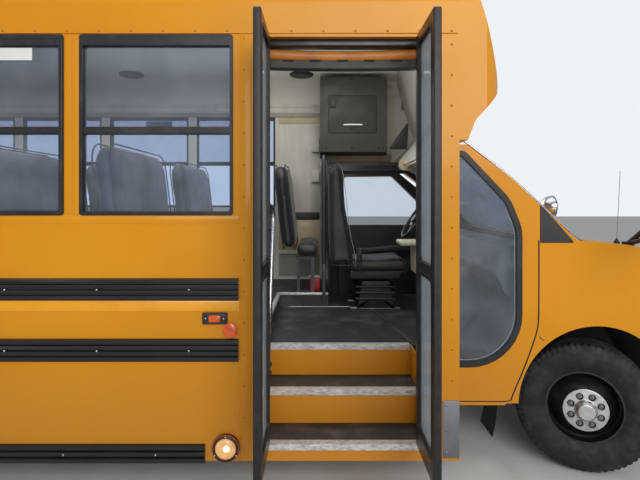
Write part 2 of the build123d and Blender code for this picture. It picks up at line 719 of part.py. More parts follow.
def clip_solid(inset):
    """The nose as a full solid, its side profile and plan together."""
    side = [(CUT_X, BELT_Z - inset), (PILLAR_LOW[0], BELT_Z - inset), (2770, 1305 - inset),
            (3100, 1150 - inset), (NOSE_X - inset, 1010 - inset), (NOSE_X - inset, NOSE_LOW_Z),
            (BUMPER_END_X - PANEL_GAP, NOSE_LOW_Z), (BUMPER_END_X - PANEL_GAP, 430), (2900, CUT_FOOT[1] - 10),
            (CUT_FOOT[0] - 15, CUT_FOOT[1] - 10), CUT_FOOT, (CUT_X, CUT_BEND_Z)]
    side = along_y(outline(side, [0, 300, 300, 120, 60, 0, 0, 20, 0, 0, 0, 120]), -CAB_HALF, CAB_HALF)
    half = CAB_HALF - inset
    front = NOSE_X + 1 - inset
    plan = [(2000, -half), (3000, -half), (front, -half + 150), (front, half - 150), (3000, half), (2000, half)]
    return side & along_z(outline(plan, [0, 250, 150, 150, 250, 0]), 300, 1500)


def nose_shell():
    """The thin outer skin of the nose, open behind, below and at the grille."""
    side = [(CUT_X - 200, 1300), (CUT_X - 200, BELT_Z - CAB_SKIN), (PILLAR_LOW[0], BELT_Z - CAB_SKIN),
            (2770, 1305 - CAB_SKIN), (3100 - 10, 1150 - CAB_SKIN), (NOSE_X - CAB_SKIN, 1010 - CAB_SKIN),
            (NOSE_X - CAB_SKIN, 300), (CUT_X - 200, 300)]
    half = CAB_HALF - CAB_SKIN
    inner = along_y(outline(side, [0, 0, 300, 300, 120, 60, 0, 0]), -half, half)
    front = NOSE_X - CAB_SKIN
    plan = [(1900, -half), (2990, -half), (front, -half + 140), (front, half - 140), (2990, half), (1900, half)]
    inner = inner & along_z(outline(plan, [0, 220, 130, 130, 220, 0]), 200, 1500)
    return clip_solid(0) - inner


HOOD_BOX = ((HOOD_REAR_X, HOOD_FRONT_X), (-HOOD_HALF, HOOD_HALF), (1000, 1500))
GRILLE_HALF = 500
GRILLE_Z = (760, 1000)
LAMP_Y = (530, 850)
LAMP_Z = (770, 1000)


def make_nose():
    """Fenders and front panel in one skin, with arches, grille and lamp openings."""
    (low_x, high_x), (low_y, high_y), z = HOOD_BOX
    gap = PANEL_GAP / 2
    shell = nose_shell() - arch()
    shell = shell - block((low_x - 40, high_x + gap), (low_y - gap, high_y + gap), z)
    shell = shell - block((CUT_X - 10, PILLAR_LOW[0] + 5), (-CAB_HALF + CAB_SKIN, CAB_HALF - CAB_SKIN), z)
    shell = shell - block((NOSE_X - 100, NOSE_X + 10), (-GRILLE_HALF, GRILLE_HALF), GRILLE_Z)
    for side in (-1, 1):
        y = sorted((side * LAMP_Y[0], side * LAMP_Y[1]))
        shell = shell - block((NOSE_X - 200, NOSE_X + 10), y, LAMP_Z)
    return joined([shell] + driver_hinge()[0])


FIREWALL_X = 2400
FIREWALL_T = 20
FIREWALL_LOW_Z = 905
COWL_Z = 1290
HOOD_HINGE = (HOOD_REAR_X + 40, 1275)
HOOD_HINGE_YS = (-620, 620)
HOOD_ARM_DROP = 108


def hood_hinge():
    """The hood's level hinges, under its rear edge."""
    x, z = HOOD_HINGE
    anchor = (FIREWALL_X + FIREWALL_T / 2, z - HOOD_ARM_DROP)
    fixed, moving = hinge(x, z, HOOD_HINGE_YS, anchor, (x + 24, z + 28))
    lay = Rot(90, 0, 0)
    return [lay * shape for shape in fixed], [lay * shape for shape in moving]


def make_hood():
    """The hood's skin, cut from the same nose surface."""
    (low_x, high_x), (low_y, high_y), z = HOOD_BOX
    gap = PANEL_GAP / 2
    skin = nose_shell() & block((low_x, high_x - gap), (low_y + gap, high_y - gap), z)
    return joined([skin] + hood_hinge()[1])


def make_grille():
    """The grille: a frame with level bars."""
    x = (NOSE_X - CAB_SKIN, NOSE_X - 4)
    low_z, high_z = GRILLE_Z
    frame = block(x, (-GRILLE_HALF + FIT, GRILLE_HALF - FIT), (low_z + FIT, high_z - FIT))
    frame = frame - block((x[0] - 1, x[1] + 1), (-GRILLE_HALF + 22, GRILLE_HALF - 22), (low_z + 22, high_z - 22))
    bars = []
    count = 4
    for index in range(count):
        z = low_z + (high_z - low_z) * (index + 1) / (count + 1)
        bars.append(block((x[0] + 4, x[1] - 4), (-GRILLE_HALF + 20, GRILLE_HALF - 20), (z - 8, z + 8)))
    return joined([frame] + bars)


def make_headlamps():
    lamps = []
    for side in (-1, 1):
        y = sorted((side * (LAMP_Y[0] + FIT), side * (LAMP_Y[1] - FIT)))
        box = block((NOSE_X - 120, NOSE_X + 10), y, (LAMP_Z[0] + FIT, LAMP_Z[1] - FIT))
        lamps.append(box & clip_solid(2))
    return group(lamps)


def make_front_bumper():
    """A pressed channel bumper with turned-back ends, on two brackets to the rails."""
    low, high = BUMPER_LOW_Z, BUMPER_LOW_Z + BUMPER_H
    half, end, t = BUMPER_HALF, BUMPER_END_X, BUMPER_T
    turn_x, turn_y = FRONT_X - 60, half - 120
    outer = [(end, -half), (turn_x, -half), (FRONT_X, -turn_y), (FRONT_X, turn_y), (turn_x, half), (end, half)]
    inner = [(end, half - t), (turn_x - 6, half - t), (FRONT_X - t, turn_y - 6), (FRONT_X - t, -turn_y + 6),
             (turn_x - 6, -half + t), (end, -half + t)]
    outer_r = [0, 60, 90, 90, 60, 0]
    inner_r = [0, 60 - t, 90 - t, 90 - t, 60 - t, 0]
    bar = along_z(outline(outer + inner, outer_r + inner_r), low, high)
    flanges = along_z(outline(outer, outer_r), low, high)
    flanges = flanges - block((0, FRONT_X + 1), (-half - 1, half + 1), (low + t, high - t))
    flanges = flanges - block((0, FRONT_X - BUMPER_FLANGE), (-half - 1, half + 1), (low - 1, high + 1))
    web_y = RAIL_OUT - RAIL_T / 2
    bracket_z = (RAIL_LOW_Z + 10, RAIL_LOW_Z + RAIL_H - 50)
    brackets = [block((RAIL_FRONT_X, FRONT_X - t + 1), (y - t / 2, y + t / 2), bracket_z) for y in (-web_y, web_y)]
    bumper = joined([bar, flanges] + brackets)
    for y in (-PLATE_SPACING / 2, PLATE_SPACING / 2):
        bumper = bumper - rod((FRONT_X - 30, y, PLATE_Z), (FRONT_X + 1, y, PLATE_Z), PLATE_HOLE_R)
    return bumper


BUMPER_LOW_Z = 440
BUMPER_H = 200
BUMPER_HALF = 960
BUMPER_T = 8
BUMPER_FLANGE = 90
PLATE_Z = 540
PLATE_HOLE_R = 3.5
PLATE_SPACING = 178


def make_windscreen():
    """The raked screen between the pillars."""
    half = CAB_HALF - PILLAR_W - FIT
    glass = along_y(pillar_profile(14, 14 + SCREEN_T), -half, half)
    return glass & block((BODY_FRONT_X, FRONT_X), (-BODY_HALF, BODY_HALF), (BELT_Z - 20, HEADER_Z - FIT))


def make_cab_side_glass():
    """The tall fixed glass with its wide black edge."""
    points = TALL_GLASS
    outer = outline(points, TALL_GLASS_R)
    middle = -CAB_HALF + 8
    face = offset(outer, -FIT)
    return along_y(face, middle - GLASS_T / 2, middle + GLASS_T / 2)


def driver_door_points():
    return [(DRIVER_REAR_X, DRIVER_LOW_Z), (CUT_FOOT[0] - PANEL_GAP, DRIVER_LOW_Z),
            (CUT_X - PANEL_GAP, CUT_BEND_Z), (CUT_X - PANEL_GAP, BELT_Z - 10),
            (CUT_X - 30, BELT_Z + 90), (PILLAR_MID[0] - 95, PILLAR_MID[1] - 55), (PILLAR_TOP[0] - 90, PILLAR_TOP[1] - 40),
            (DRIVER_REAR_X, HEADER_Z - 50)]


def driver_pane_points(inset=0):
    return [(DRIVER_REAR_X + 70 + inset, DRIVER_SILL_Z + 10 + inset), (2080 - inset, DRIVER_SILL_Z + 10 + inset),
            (PILLAR_MID[0] - 170 - inset, PILLAR_MID[1] - 120 - inset),
            (PILLAR_TOP[0] - 125 - inset, PILLAR_TOP[1] - 100 - inset), (DRIVER_REAR_X + 70 + inset, 1785 - inset)]


DRIVER_HINGE = (CUT_X - PANEL_GAP / 2, CAB_HALF + 13)
DRIVER_LEVELS = (900, 1200)


def driver_hinge():
    x, y = DRIVER_HINGE
    return hinge(x, y, DRIVER_LEVELS, (CUT_X + 15, CAB_HALF - 8), (CUT_X - 26, CAB_HALF - 8))


def make_driver_door():
    """The driver's door: outer form with its window opening, mirror-side pull and hinge barrels."""
    radii = [40, 100, 120, 60, 0, 200, 60, 60]
    door = flip(along_y(outline(driver_door_points(), radii), -CAB_HALF, -CAB_HALF + DRIVER_T))
    cut = flip(along_y(outline(driver_pane_points(), [30, 30, 100, 40, 30]), -CAB_HALF - 1, -CAB_HALF + DRIVER_T + 1))
    door = door - cut - arch(4)
    x, y = DRIVER_HINGE
    reach = BARREL_H / 2 + STACK_GAP + LUG_H + 1
    for level in DRIVER_LEVELS:
        door = door - rod((x, y, level - reach), (x, y, level + reach), BARREL_R + 4)
    handle = block((DRIVER_REAR_X + 50, DRIVER_REAR_X + 190), (CAB_HALF - 2, CAB_HALF + 22), (1130, 1160))
    return joined([door, handle] + driver_hinge()[1])


def make_driver_door_glass():
    middle = CAB_HALF - DRIVER_T / 2
    face = outline(driver_pane_points(FIT), [30, 30, 100, 40, 30])
    return flip(along_y(face, -middle - GLASS_T / 2, -middle + GLASS_T / 2))


def cab_transition():
    """Panels that close the wide body down to the cab, drawn for the flipped side:
    left front and soffit, then right front."""
    z = (SILL_Z - 100, HEADER_Z)
    left = block((LEFT_FRONT_X - WALL, LEFT_FRONT_X), (-INNER_HALF, -CAB_HALF + CAB_SKIN), z)
    soffit = block((LEFT_FRONT_X, BODY_FRONT_X), (-INNER_HALF, -CAB_HALF + DRIVER_T + 50), (HEADER_Z, HEADER_Z + 20))
    right = block((BODY_FRONT_X - WALL, BODY_FRONT_X), (CAB_HALF - CAB_SKIN, INNER_HALF), z)
    return left + soffit, right


def make_firewall():
    """The panel between engine bay and cab, with the cowl above it."""
    t = FIREWALL_T
    inside = CAB_HALF - CAB_SKIN - 1
    wall = block((FIREWALL_X, FIREWALL_X + t), (-inside, inside), (FIREWALL_LOW_Z, COWL_Z))
    cowl = block((FIREWALL_X, HOOD_REAR_X - PANEL_GAP - 34), (-CAB_HALF + PILLAR_W, CAB_HALF - PILLAR_W),
                 (COWL_Z - t, COWL_Z))
    toe = block((TOE_TOP_X, FIREWALL_X), (-inside, CAB_HALF - DRIVER_T - 10), (FIREWALL_LOW_Z, FIREWALL_LOW_Z + t))
    tunnel = block((TOE_X, FIREWALL_X + t + 10), (-COVER_HALF - 1, COVER_HALF + 1), (LANDING_Z, COVER_TOP_Z + 1))
    return joined([joined([wall, cowl, toe]) - tunnel] + hood_hinge()[0])


DASH_X = 2000
DASH_LOW_Z = 960
DASH_TOP_Z = 1310
DASH_SIDE = 90


def make_dashboard():
    """The dashboard across the cab, with the engine cover below its middle."""
    points = [(DASH_X, DASH_TOP_Z - 180), (DASH_X + 60, DASH_LOW_Z + 50), (DASH_X + 230, DASH_LOW_Z),
              (FIREWALL_X, DASH_LOW_Z), (FIREWALL_X, DASH_TOP_Z - 45), (DASH_X + 200, DASH_TOP_Z),
              (DASH_X + 50, DASH_TOP_Z - 20)]
    half = CAB_HALF - DASH_SIDE
    dash = along_y(outline(points, [40, 40, 0, 0, 0, 120, 40]), -half, half)
    tunnel = block((DASH_X - 10, FIREWALL_X + 1), (-COVER_HALF - 1, COVER_HALF + 1), (DASH_LOW_Z - 60, COVER_TOP_Z))
    return dash - tunnel + make_engine_cover()


def make_steering_wheel():
    """The wheel's rim and spokes on its column, which runs into the dashboard."""
    centre = Vector(1800, 450, 1400)
    foot = Vector(2100, 450, 1195)
    plane = Plane(origin=centre, x_dir=(0, 1, 0), z_dir=foot - centre)
    spokes = [plane * Rot(0, 0, angle) * Pos(95, 0, 0) * Box(190, 26, 12) for angle in (0, 120, 240)]
    whole = joined([plane * Torus(190, 15), plane * Cylinder(45, 40)] + spokes + [rod(centre, foot, 30)])
    whole = whole - make_dashboard()
    return max(whole.solids(), key=lambda item: item.volume)


# Chassis

def make_chassis_frame():
    """Two channel rails tied by cross-members."""
    outer = [(RAIL_OUT, RAIL_LOW_Z), (RAIL_OUT, RAIL_LOW_Z + RAIL_H), (RAIL_OUT - RAIL_W, RAIL_LOW_Z + RAIL_H),
             (RAIL_OUT - RAIL_W, RAIL_LOW_Z + RAIL_H - RAIL_T), (RAIL_OUT - RAIL_T, RAIL_LOW_Z + RAIL_H - RAIL_T),
             (RAIL_OUT - RAIL_T, RAIL_LOW_Z + RAIL_T), (RAIL_OUT - RAIL_W, RAIL_LOW_Z + RAIL_T),
             (RAIL_OUT - RAIL_W, RAIL_LOW_Z)]
    rail = along_x(outline(outer), RAIL_REAR_X, RAIL_FRONT_X)
    shapes = [rail, flip(rail)]
    rail_top = RAIL_LOW_Z + RAIL_H
    web = RAIL_OUT - RAIL_T / 2
    for x in CROSS_MEMBERS:
        shapes.append(block((x - MEMBER_W / 2, x + MEMBER_W / 2), (-web, web),
                            (rail_top - RAIL_T - MEMBER_H, rail_top - RAIL_T / 2)))
    return joined(shapes)


def make_front_axle():
    """The front beam with its kingpin eyes, spring seats and coil towers to the rails."""
    beam = block((FRONT_AXLE_X - 35, FRONT_AXLE_X + 35), (-KINGPIN_Y + 60, KINGPIN_Y - 60), (230, 300))
    shapes = [beam]
    for side in (-1, 1):
        y = side * KINGPIN_Y
        shapes.append(rod((FRONT_AXLE_X, y, AXLE_Z - 45), (FRONT_AXLE_X, y, AXLE_Z + 45), 38))
        rise = sorted((side * (KINGPIN_Y - 110), side * (KINGPIN_Y - 50)))
        shapes.append(block((FRONT_AXLE_X - 30, FRONT_AXLE_X + 30), rise, (235, AXLE_Z + 40)))
        link = sorted((side * (KINGPIN_Y - 60), side * (KINGPIN_Y - 20)))
        shapes.append(block((FRONT_AXLE_X - 30, FRONT_AXLE_X + 30), link, (AXLE_Z - 40, AXLE_Z + 40)))
        spring = rod((FRONT_AXLE_X, side * 500, 290), (FRONT_AXLE_X, side * 500, RAIL_LOW_Z + 160), 58)
        shapes.append(spring)
        tower = sorted((side * (RAIL_OUT + FIT), side * 570))
        shapes.append(block((FRONT_AXLE_X - 70, FRONT_AXLE_X + 70), tower, (RAIL_LOW_Z + 150, RAIL_LOW_Z + 170)))
    axle = joined(shapes)
    for side in (-1, 1):
        y = side * KINGPIN_Y
        axle = axle - rod((FRONT_AXLE_X, y, 0), (FRONT_AXLE_X, y, 800), KINGPIN_R + RUN)
    return axle


def knuckle(side):
    """A steering knuckle: two ears, kingpin, spindle and brake disc, straight ahead."""
    y = side * KINGPIN_Y
    parts = [rod((FRONT_AXLE_X, y, AXLE_Z - 75), (FRONT_AXLE_X, y, AXLE_Z + 75), KINGPIN_R)]
    for low in (AXLE_Z - 75, AXLE_Z + 46):
        parts.append(rod((FRONT_AXLE_X, y, low), (FRONT_AXLE_X, y, low + 29), 34))
        reach = sorted((y, y + side * 62))
        parts.append(block((FRONT_AXLE_X - 30, FRONT_AXLE_X + 30), reach, (low, low + 29)))
    web = sorted((y + side * 44, y + side * 62))
    parts.append(block((FRONT_AXLE_X - 30, FRONT_AXLE_X + 30), web, (AXLE_Z - 75, AXLE_Z + 75)))
    end = side * (FRONT_TRACK_HALF + FRONT_STAND + 20)
    parts.append(rod((FRONT_AXLE_X, y + side * 60, AXLE_Z), (FRONT_AXLE_X, end, AXLE_Z), SPINDLE_R))
    parts.append(rod((FRONT_AXLE_X, y + side * 62, AXLE_Z), (FRONT_AXLE_X, y + side * 72, AXLE_Z), 150))
    return turned(joined(parts), FRONT_AXLE_X, y, -STEER_REST)


def tyre_profile():
    """Half the tyre's section as (radius, offset) and its corner radii."""
    half = TYRE_W / 2
    bead = RIM_W / 2 - RIM_T - FIT
    return ([(BEAD_R + FIT, -bead), (BEAD_R + 30, -bead), (TYRE_R - 75, -half), (TYRE_R, -half + 22),
             (TYRE_R, half - 22), (TYRE_R - 75, half), (BEAD_R + 30, bead), (BEAD_R + FIT, bead)],
            [0, 20, 45, 18, 18, 45, 20, 0])


def tyre(y):
    """A tyre about the axle line at Y = y."""
    points, radii = tyre_profile()
    face = outline(points, radii)
    return Pos(0, y, AXLE_Z) * revolve(face, Axis.Y)


def rim_barrel():
    """The rim's rolled barrel with its two flanges, as a revolved strip."""
    half = RIM_W / 2
    points = [(BEAD_R, -half + RIM_T), (BEAD_R, half - RIM_T), (FLANGE_R, half - RIM_T), (FLANGE_R, half),
              (BEAD_R - RIM_T, half), (BEAD_R - RIM_T, -half), (FLANGE_R, -half), (FLANGE_R, -half + RIM_T)]
    return revolve(outline(points), Axis.Y)


def disc_wheel(stand, hub_hole):
    """A steel disc wheel whose bolting face stands out from the rim's middle by `stand`."""
    inner_face = stand - 5
    points = [(hub_hole, inner_face), (hub_hole, inner_face + 10), (100, inner_face + 10), (185, 12), (BEAD_R - 2, 12),
              (BEAD_R - 2, 2), (178, 2), (95, inner_face)]
    disc = revolve(outline(points, [0, 0, 20, 20, 0, 0, 20, 20]), Axis.Y)
    return rim_barrel() + disc


def holes(count, radius, circle, reach):
    """Round cutters on a circle about the Y axis."""
    cutters = []
    for index in range(count):
        angle = 2 * pi * (index + 0.5) / count
        x, z = circle * cos(angle), circle * sin(angle)
        cutters.append(rod((x, -reach, z), (x, reach, z), radius))
    return cutters


def front_wheel_parts():
    """The left front wheel about the axle line: its rim and hub cap."""
    bore = SPINDLE_R + RUN
    rim = disc_wheel(FRONT_STAND, bore + 40)
    hub_end = FRONT_STAND - 4
    hub = revolve(outline([(bore, -15), (HUB_BARREL_R, -15), (HUB_BARREL_R, hub_end), (bore, hub_end)]), Axis.Y)
    face = revolve(outline([(bore, hub_end - 16), (HUB_R - 4, hub_end - 16), (HUB_R - 4, hub_end), (bore, hub_end)]),
                   Axis.Y)
    seat = FRONT_STAND + 5 + FIT
    top = seat + CAP_DOME_H
    cap = revolve(outline([(0, top), (CAP_DOME_R - 12, top), (CAP_DOME_R, top - 14), (CAP_DOME_R + 6, seat + 12),
                           (HUB_R, seat + 7), (HUB_R, seat), (CAP_DOME_R + 2, seat), (CAP_DOME_R - 6, seat + 10),
                           (CAP_DOME_R - 10, top - 16), (0, top - 8)], [0, 8, 6, 4, 4, 0, 0, 5, 5, 0]), Axis.Y)
    for cutter in holes(LUG_HOLES, LUG_HOLE_R, BOLT_PCD / 2, 300):
        cap = cap - cutter
    return rim + (hub + face), cap


def placed_front(shape, side):
    """Moves a wheel piece from the axle line to its knuckle, turned to the rest lock."""
    if side < 0:
        shape = flip(shape)
    shape = Pos(FRONT_AXLE_X, side * FRONT_TRACK_HALF, AXLE_Z) * shape
    return turned(shape, FRONT_AXLE_X, side * KINGPIN_Y, -STEER_REST)


def front_tyre(side):
    return placed_front(Pos(0, 0, -AXLE_Z) * tyre(0), side)


def make_rear_axle():
    """The axle tube with its differential, spring seats and leaf springs."""
    axle = rod((REAR_AXLE_X, -680, AXLE_Z), (REAR_AXLE_X, 680, AXLE_Z), 45)
    hub_l = rod((REAR_AXLE_X, 600, AXLE_Z), (REAR_AXLE_X, 1010, AXLE_Z), AXLE_SHAFT_R)
    pumpkin = Pos(REAR_AXLE_X, 0, AXLE_Z) * Sphere(150)
    nose = rod((REAR_AXLE_X, 0, AXLE_Z), (REAR_AXLE_X + 260, 0, AXLE_Z + 20), 60)
    shapes = [axle, hub_l, flip(hub_l), pumpkin, nose]
    for side in (-1, 1):
        y = sorted((side * 460, side * 540))
        for level, half in enumerate((640, 480, 320)):
            low = AXLE_Z + 44 - 14 * level
            shapes.append(block((REAR_AXLE_X - half, REAR_AXLE_X + half), y, (low - 14, low + 0.5)))
        for end in (-1, 1):
            x = REAR_AXLE_X + end * 600
            shapes.append(block((x - 20, x + 20), y, (AXLE_Z + 40, RAIL_LOW_Z + 100)))
            shapes.append(block((x - 20, x + 20), sorted((side * (RAIL_OUT + FIT), side * 540)),
                                (RAIL_LOW_Z + 40, RAIL_LOW_Z + 100)))
    return joined(shapes)


def rear_rims(side):
    """Both rims of a twin wheel, bolted face to face on one hub."""
    middle = (INNER_TWIN_Y + OUTER_TWIN_Y) / 2
    stand = (OUTER_TWIN_Y - INNER_TWIN_Y) / 2 - 5
    outer = Pos(0, OUTER_TWIN_Y, 0) * flip(disc_wheel(stand, TWIN_BORE_R))
    inner = Pos(0, INNER_TWIN_Y, 0) * disc_wheel(stand, TWIN_BORE_R)
    bore = AXLE_SHAFT_R + RUN
    hub = revolve(outline([(bore, -60), (TWIN_BORE_R, -60), (TWIN_BORE_R, -30), (95, -30), (95, -9.5),
                           (TWIN_BORE_R, -9.5), (TWIN_BORE_R, 80), (bore, 90)]), Axis.Y)
    rims = joined([inner, outer, Pos(0, middle, 0) * hub])
    for cutter in holes(HAND_HOLES, HAND_HOLE_R, 152, 1500):
        rims = rims - cutter
    rims = Pos(REAR_AXLE_X, 0, AXLE_Z) * rims
    return rims if side > 0 else flip(rims)


def rear_tyres(side):
    tyres = [Pos(REAR_AXLE_X, 0, 0) * tyre(y) for y in (INNER_TWIN_Y, OUTER_TWIN_Y)]
    return group(tyres if side > 0 else [flip(item) for item in tyres])


def make_engine_block():
    return block((1960, 2740), (-290, 290), (RAIL_LOW_Z + 40, 1040))


def make_driveline():
    """Gearbox and propeller shaft, from the engine to the rear axle."""
    box = block((1350, 1960), (-170, 170), (400, 590))
    shaft = rod((1350, 0, 480), (REAR_AXLE_X + 262, 0, AXLE_Z + 22), 38)
    return box + shaft


def make_powertrain():
    """Engine, gearbox and propeller shaft."""
    return make_engine_block() + make_driveline()


def make_fuel_tank():
    tank = block((-900, 250), (RAIL_OUT + 40, 960), (300, 595))
    tank = fillet(tank.edges().filter_by(Axis.X), 50)
    straps = [block((x - 25, x + 25), (RAIL_OUT + FIT, RAIL_OUT + 60), (420, 560)) for x in (-650, 0)]
    return joined([tank] + straps)


def make_exhaust():
    """Exhaust pipe and silencer along the right side."""
    silencer = rod((-200, -620, 470), (600, -620, 470), 95)
    tail = rod((-200, -620, 470), (-900, -620, 470), 30)
    lead = rod((600, -620, 470), (1500, -500, 470), 30)
    hangers = [block((x - 10, x + 10), (-620, -RAIL_OUT - FIT), (520, 545)) for x in (-100, 500)]
    return joined([silencer, tail, lead] + hangers)


REAR_BUMPER_Z = (420, 650)
REAR_BUMPER_W = 100


def make_rear_bumper():
    """A full-width channel bumper on brackets from the rails."""
    low, high = REAR_BUMPER_Z
    half, t = BODY_HALF - 20, BUMPER_T
    outer = block((REAR_X, REAR_X + REAR_BUMPER_W), (-half, half), (low, high))
    outer = fillet(outer.edges().filter_by(Axis.Z).sort_by(Axis.X)[:2], 60)
    inner = block((REAR_X + t, REAR_X + REAR_BUMPER_W + 1), (-half + t, half - t), (low + t, high - t))
    brackets = [block((REAR_X + t - 1, RAIL_REAR_X), (y - 5, y + 5), (RAIL_LOW_Z + 10, RAIL_LOW_Z + RAIL_H - 10))
                for y in (-RAIL_OUT + 10, RAIL_OUT - 10)]
    bumper = joined([outer - inner] + brackets)
    for y in (-PLATE_SPACING / 2, PLATE_SPACING / 2):
        bumper = bumper - rod((REAR_X - 1, y, PLATE_Z), (REAR_X + 30, y, PLATE_Z), PLATE_HOLE_R)
    return bumper


# Outside fittings

def ribbed_section(low, high, ribs):
    """A black rail's section: a flat base with proud ribs, as (Y, Z) on the right side."""
    base = -BODY_HALF - RAIL_BASE
    out = -BODY_HALF - RAIL_BASE - RIB_OUT
    points = [(-BODY_HALF, low), (-BODY_HALF, high)]
    pitch = (high - low) / ribs
    for index in range(ribs):
        top = high - index * pitch
        points += [(out, top - pitch * 0.12), (out, top - pitch * 0.62), (base, top - pitch * 0.74), (base, top - pitch)]
    return outline(points)


def rail_run(low, high, ribs, front_x):
    rail = along_x(ribbed_section(low, high, ribs), BODY_REAR_X + REAR_PAN, front_x)
    return rail - rear_arch(20)


def make_rub_rails():
    rails = []
    for low, high, ribs, end in RIBBED_RAILS:
        rails.append(rail_run(low, high, ribs, end))
        rails.append(flip(rail_run(low, high, ribs, end + LEFT_SHIFT)))
    return group(rails)


WARNING_LAMP_R = 90
WARNING_LAMP_YS = (-900, -640, 640, 900)
WARNING_LAMP_Z = (2390, 2420)
LAMP_DEPTH = 40


def make_warning_lamps():
    """Four round lamps on the front cap and four on the rear wall, in dark round housings."""
    lamps = []
    front_z, rear_z = WARNING_LAMP_Z
    for y in WARNING_LAMP_YS:
        front = rod((CAP_BROW_X, y, front_z), (CAP_FRONT_X + 10, y, front_z), WARNING_LAMP_R)
        lamps.append(front - cap_solid(0))
        lamps.append(rod((BODY_REAR_X - LAMP_DEPTH, y, rear_z), (BODY_REAR_X, y, rear_z), WARNING_LAMP_R))
    return group(lamps)


def rear_lamps():
    """Stop, turn and reversing lamps on the rear wall."""
    lamps = []
    for side in (-1, 1):
        for y, z, radius in ((880, 1250, 90), (880, 1020, 60), (880, 850, 60)):
            lamps.append(rod((BODY_REAR_X - 25, side * y, z), (BODY_REAR_X, side * y, z), radius))
    return lamps


def make_marker_lamps():
    """Side marker, reflector and turn lamps, with the stop, turn and reversing lamps at the rear."""
    lamps = []
    for side, shift in ((-1, 0), (1, LEFT_SHIFT)):
        face = side * BODY_HALF
        # X, Z, radius and depth of each round side lamp
        for x, z, radius, depth in ((502, 885, 39, 16), (480, 273, 71, 24)):
            lamps.append(rod((x + shift, face, z), (x + shift, face + side * depth, z), radius))
    return group(lamps + rear_lamps())


# The mirror head's rear X and low Z, then its thickness, width and height
MIRROR_HEAD = (2700, 1350)
MIRROR_SIZE = (80, 190, 450)
MIRROR_FOOT_Z = 1312


def mirror_head(side):
    """A rear-view mirror head on its tubular arm from the fender."""
    reach, (x, z), (t, w, h) = OPEN_REACH, MIRROR_HEAD, MIRROR_SIZE
    head = block((x, x + t), (reach - w, reach), (z, z + h))
    head = fillet(head.edges().filter_by(Axis.X), 40)
    middle, inner_y = x + t - 20, reach - w + 40
    foot_y = CAB_HALF - 65
    foot_top = (middle, foot_y, MIRROR_FOOT_Z)
    arm_tube = rod(foot_top, (middle, inner_y, z + 100), 14)
    upper = rod(foot_top, (middle, inner_y, z + h - 150), 14)
    foot = rod((middle, foot_y, MIRROR_FOOT_Z - 62), (middle, foot_y, MIRROR_FOOT_Z + 10), 32)
    whole = joined([head, arm_tube, upper, foot]) - nose_shell()
    whole = group([max(whole.solids(), key=lambda item: item.volume)])
    return whole if side > 0 else flip(whole)


CROSS_MIRROR = (3210, 915, 1493)
CROSS_MIRROR_R = 110


def cross_mirror(side):
    """A domed cross-view mirror on an arm at the fender's front."""
    x, y, z = CROSS_MIRROR
    r = CROSS_MIRROR_R
    dome = Pos(x, y, z) * (Sphere(r) & Pos(-r / 2, 0, 0) * Box(r, 3 * r, 3 * r))
    stem = rod((x - 165, y - 15, z - 345), (x - 10, y, z), 12)
    whole = joined([dome, stem]) - nose_shell()
    whole = group([max(whole.solids(), key=lambda item: item.volume)])
    return whole if side > 0 else flip(whole)


STOP_HINGE = (980, BODY_HALF + 40)
STOP_Z = 1270
STOP_R = 230


def stop_hinge():
    x, y = STOP_HINGE
    return hinge(x, y, (STOP_Z - 70, STOP_Z + 70), (x + 20, y), (x - 24, y))


def stop_arm_base():
    """The stop arm's housing on the wall, with its hinge lugs."""
    x, y = STOP_HINGE
    base = block((x + 12, x + 70), (BODY_HALF, y + 12), (STOP_Z - 110, STOP_Z + 120))
    return joined([base] + stop_hinge()[0])


def make_stop_arm():
    """The eight-sided stop arm, folded along the left side."""
    x, y = STOP_HINGE
    centre = (x - 24 - STOP_R * cos(pi / 8) - 20, STOP_Z)
    points = [(centre[0] + STOP_R * cos(pi * (index + 0.5) / 4), centre[1] + STOP_R * sin(pi * (index + 0.5) / 4))
              for index in range(8)]
    plate = along_y(outline(points), y - 4, y + 4)
    link = block((x - 60, x - 16), (y - 5, y + 5), (STOP_Z - 90, STOP_Z + 90))
    return joined([plate, link] + stop_hinge()[1])


# Inside

def seat_rows():
    """The front X of each seat row."""
    return [SEAT_FRONT_X - index * SEAT_PITCH for index in range(SEAT_ROWS)]


def both_sides(shapes):
    shapes = list(shapes)
    return shapes + [flip(shape) for shape in shapes]


def bench_cushion(front, depth, aisle_y):
    """A padded bench on the right side, from its front X back by its depth."""
    seat = block((front - depth, front), (-INNER_HALF + SEAT_WALL_GAP, -aisle_y),
                 (SEAT_TOP_Z - CUSHION_T, SEAT_TOP_Z))
    return fillet(seat.edges().filter_by(Axis.Y), CUSHION_R)


def bench_back(x, aisle_y):
    """A high padded back with rounded upper corners, its front face at X = x, leaning to the rear."""
    low_y, high_y = -INNER_HALF + SEAT_WALL_GAP, -aisle_y
    bottom, top = SEAT_TOP_Z - BACK_OVERLAP, SEAT_BACK_TOP_Z
    face = outline([(low_y, bottom), (high_y, bottom), (high_y, top), (low_y, top)], [10, 10, 130, 130])
    lean = [(x - SEAT_BACK_T, bottom), (x, bottom), (x - BACK_LEAN, top), (x - SEAT_BACK_T - BACK_LEAN + 20, top)]
    slab = along_x(face, x - SEAT_BACK_T - BACK_LEAN, x)
    return slab & along_y(outline(lean, [20, 5, 45, 45]), low_y - 1, high_y + 1)


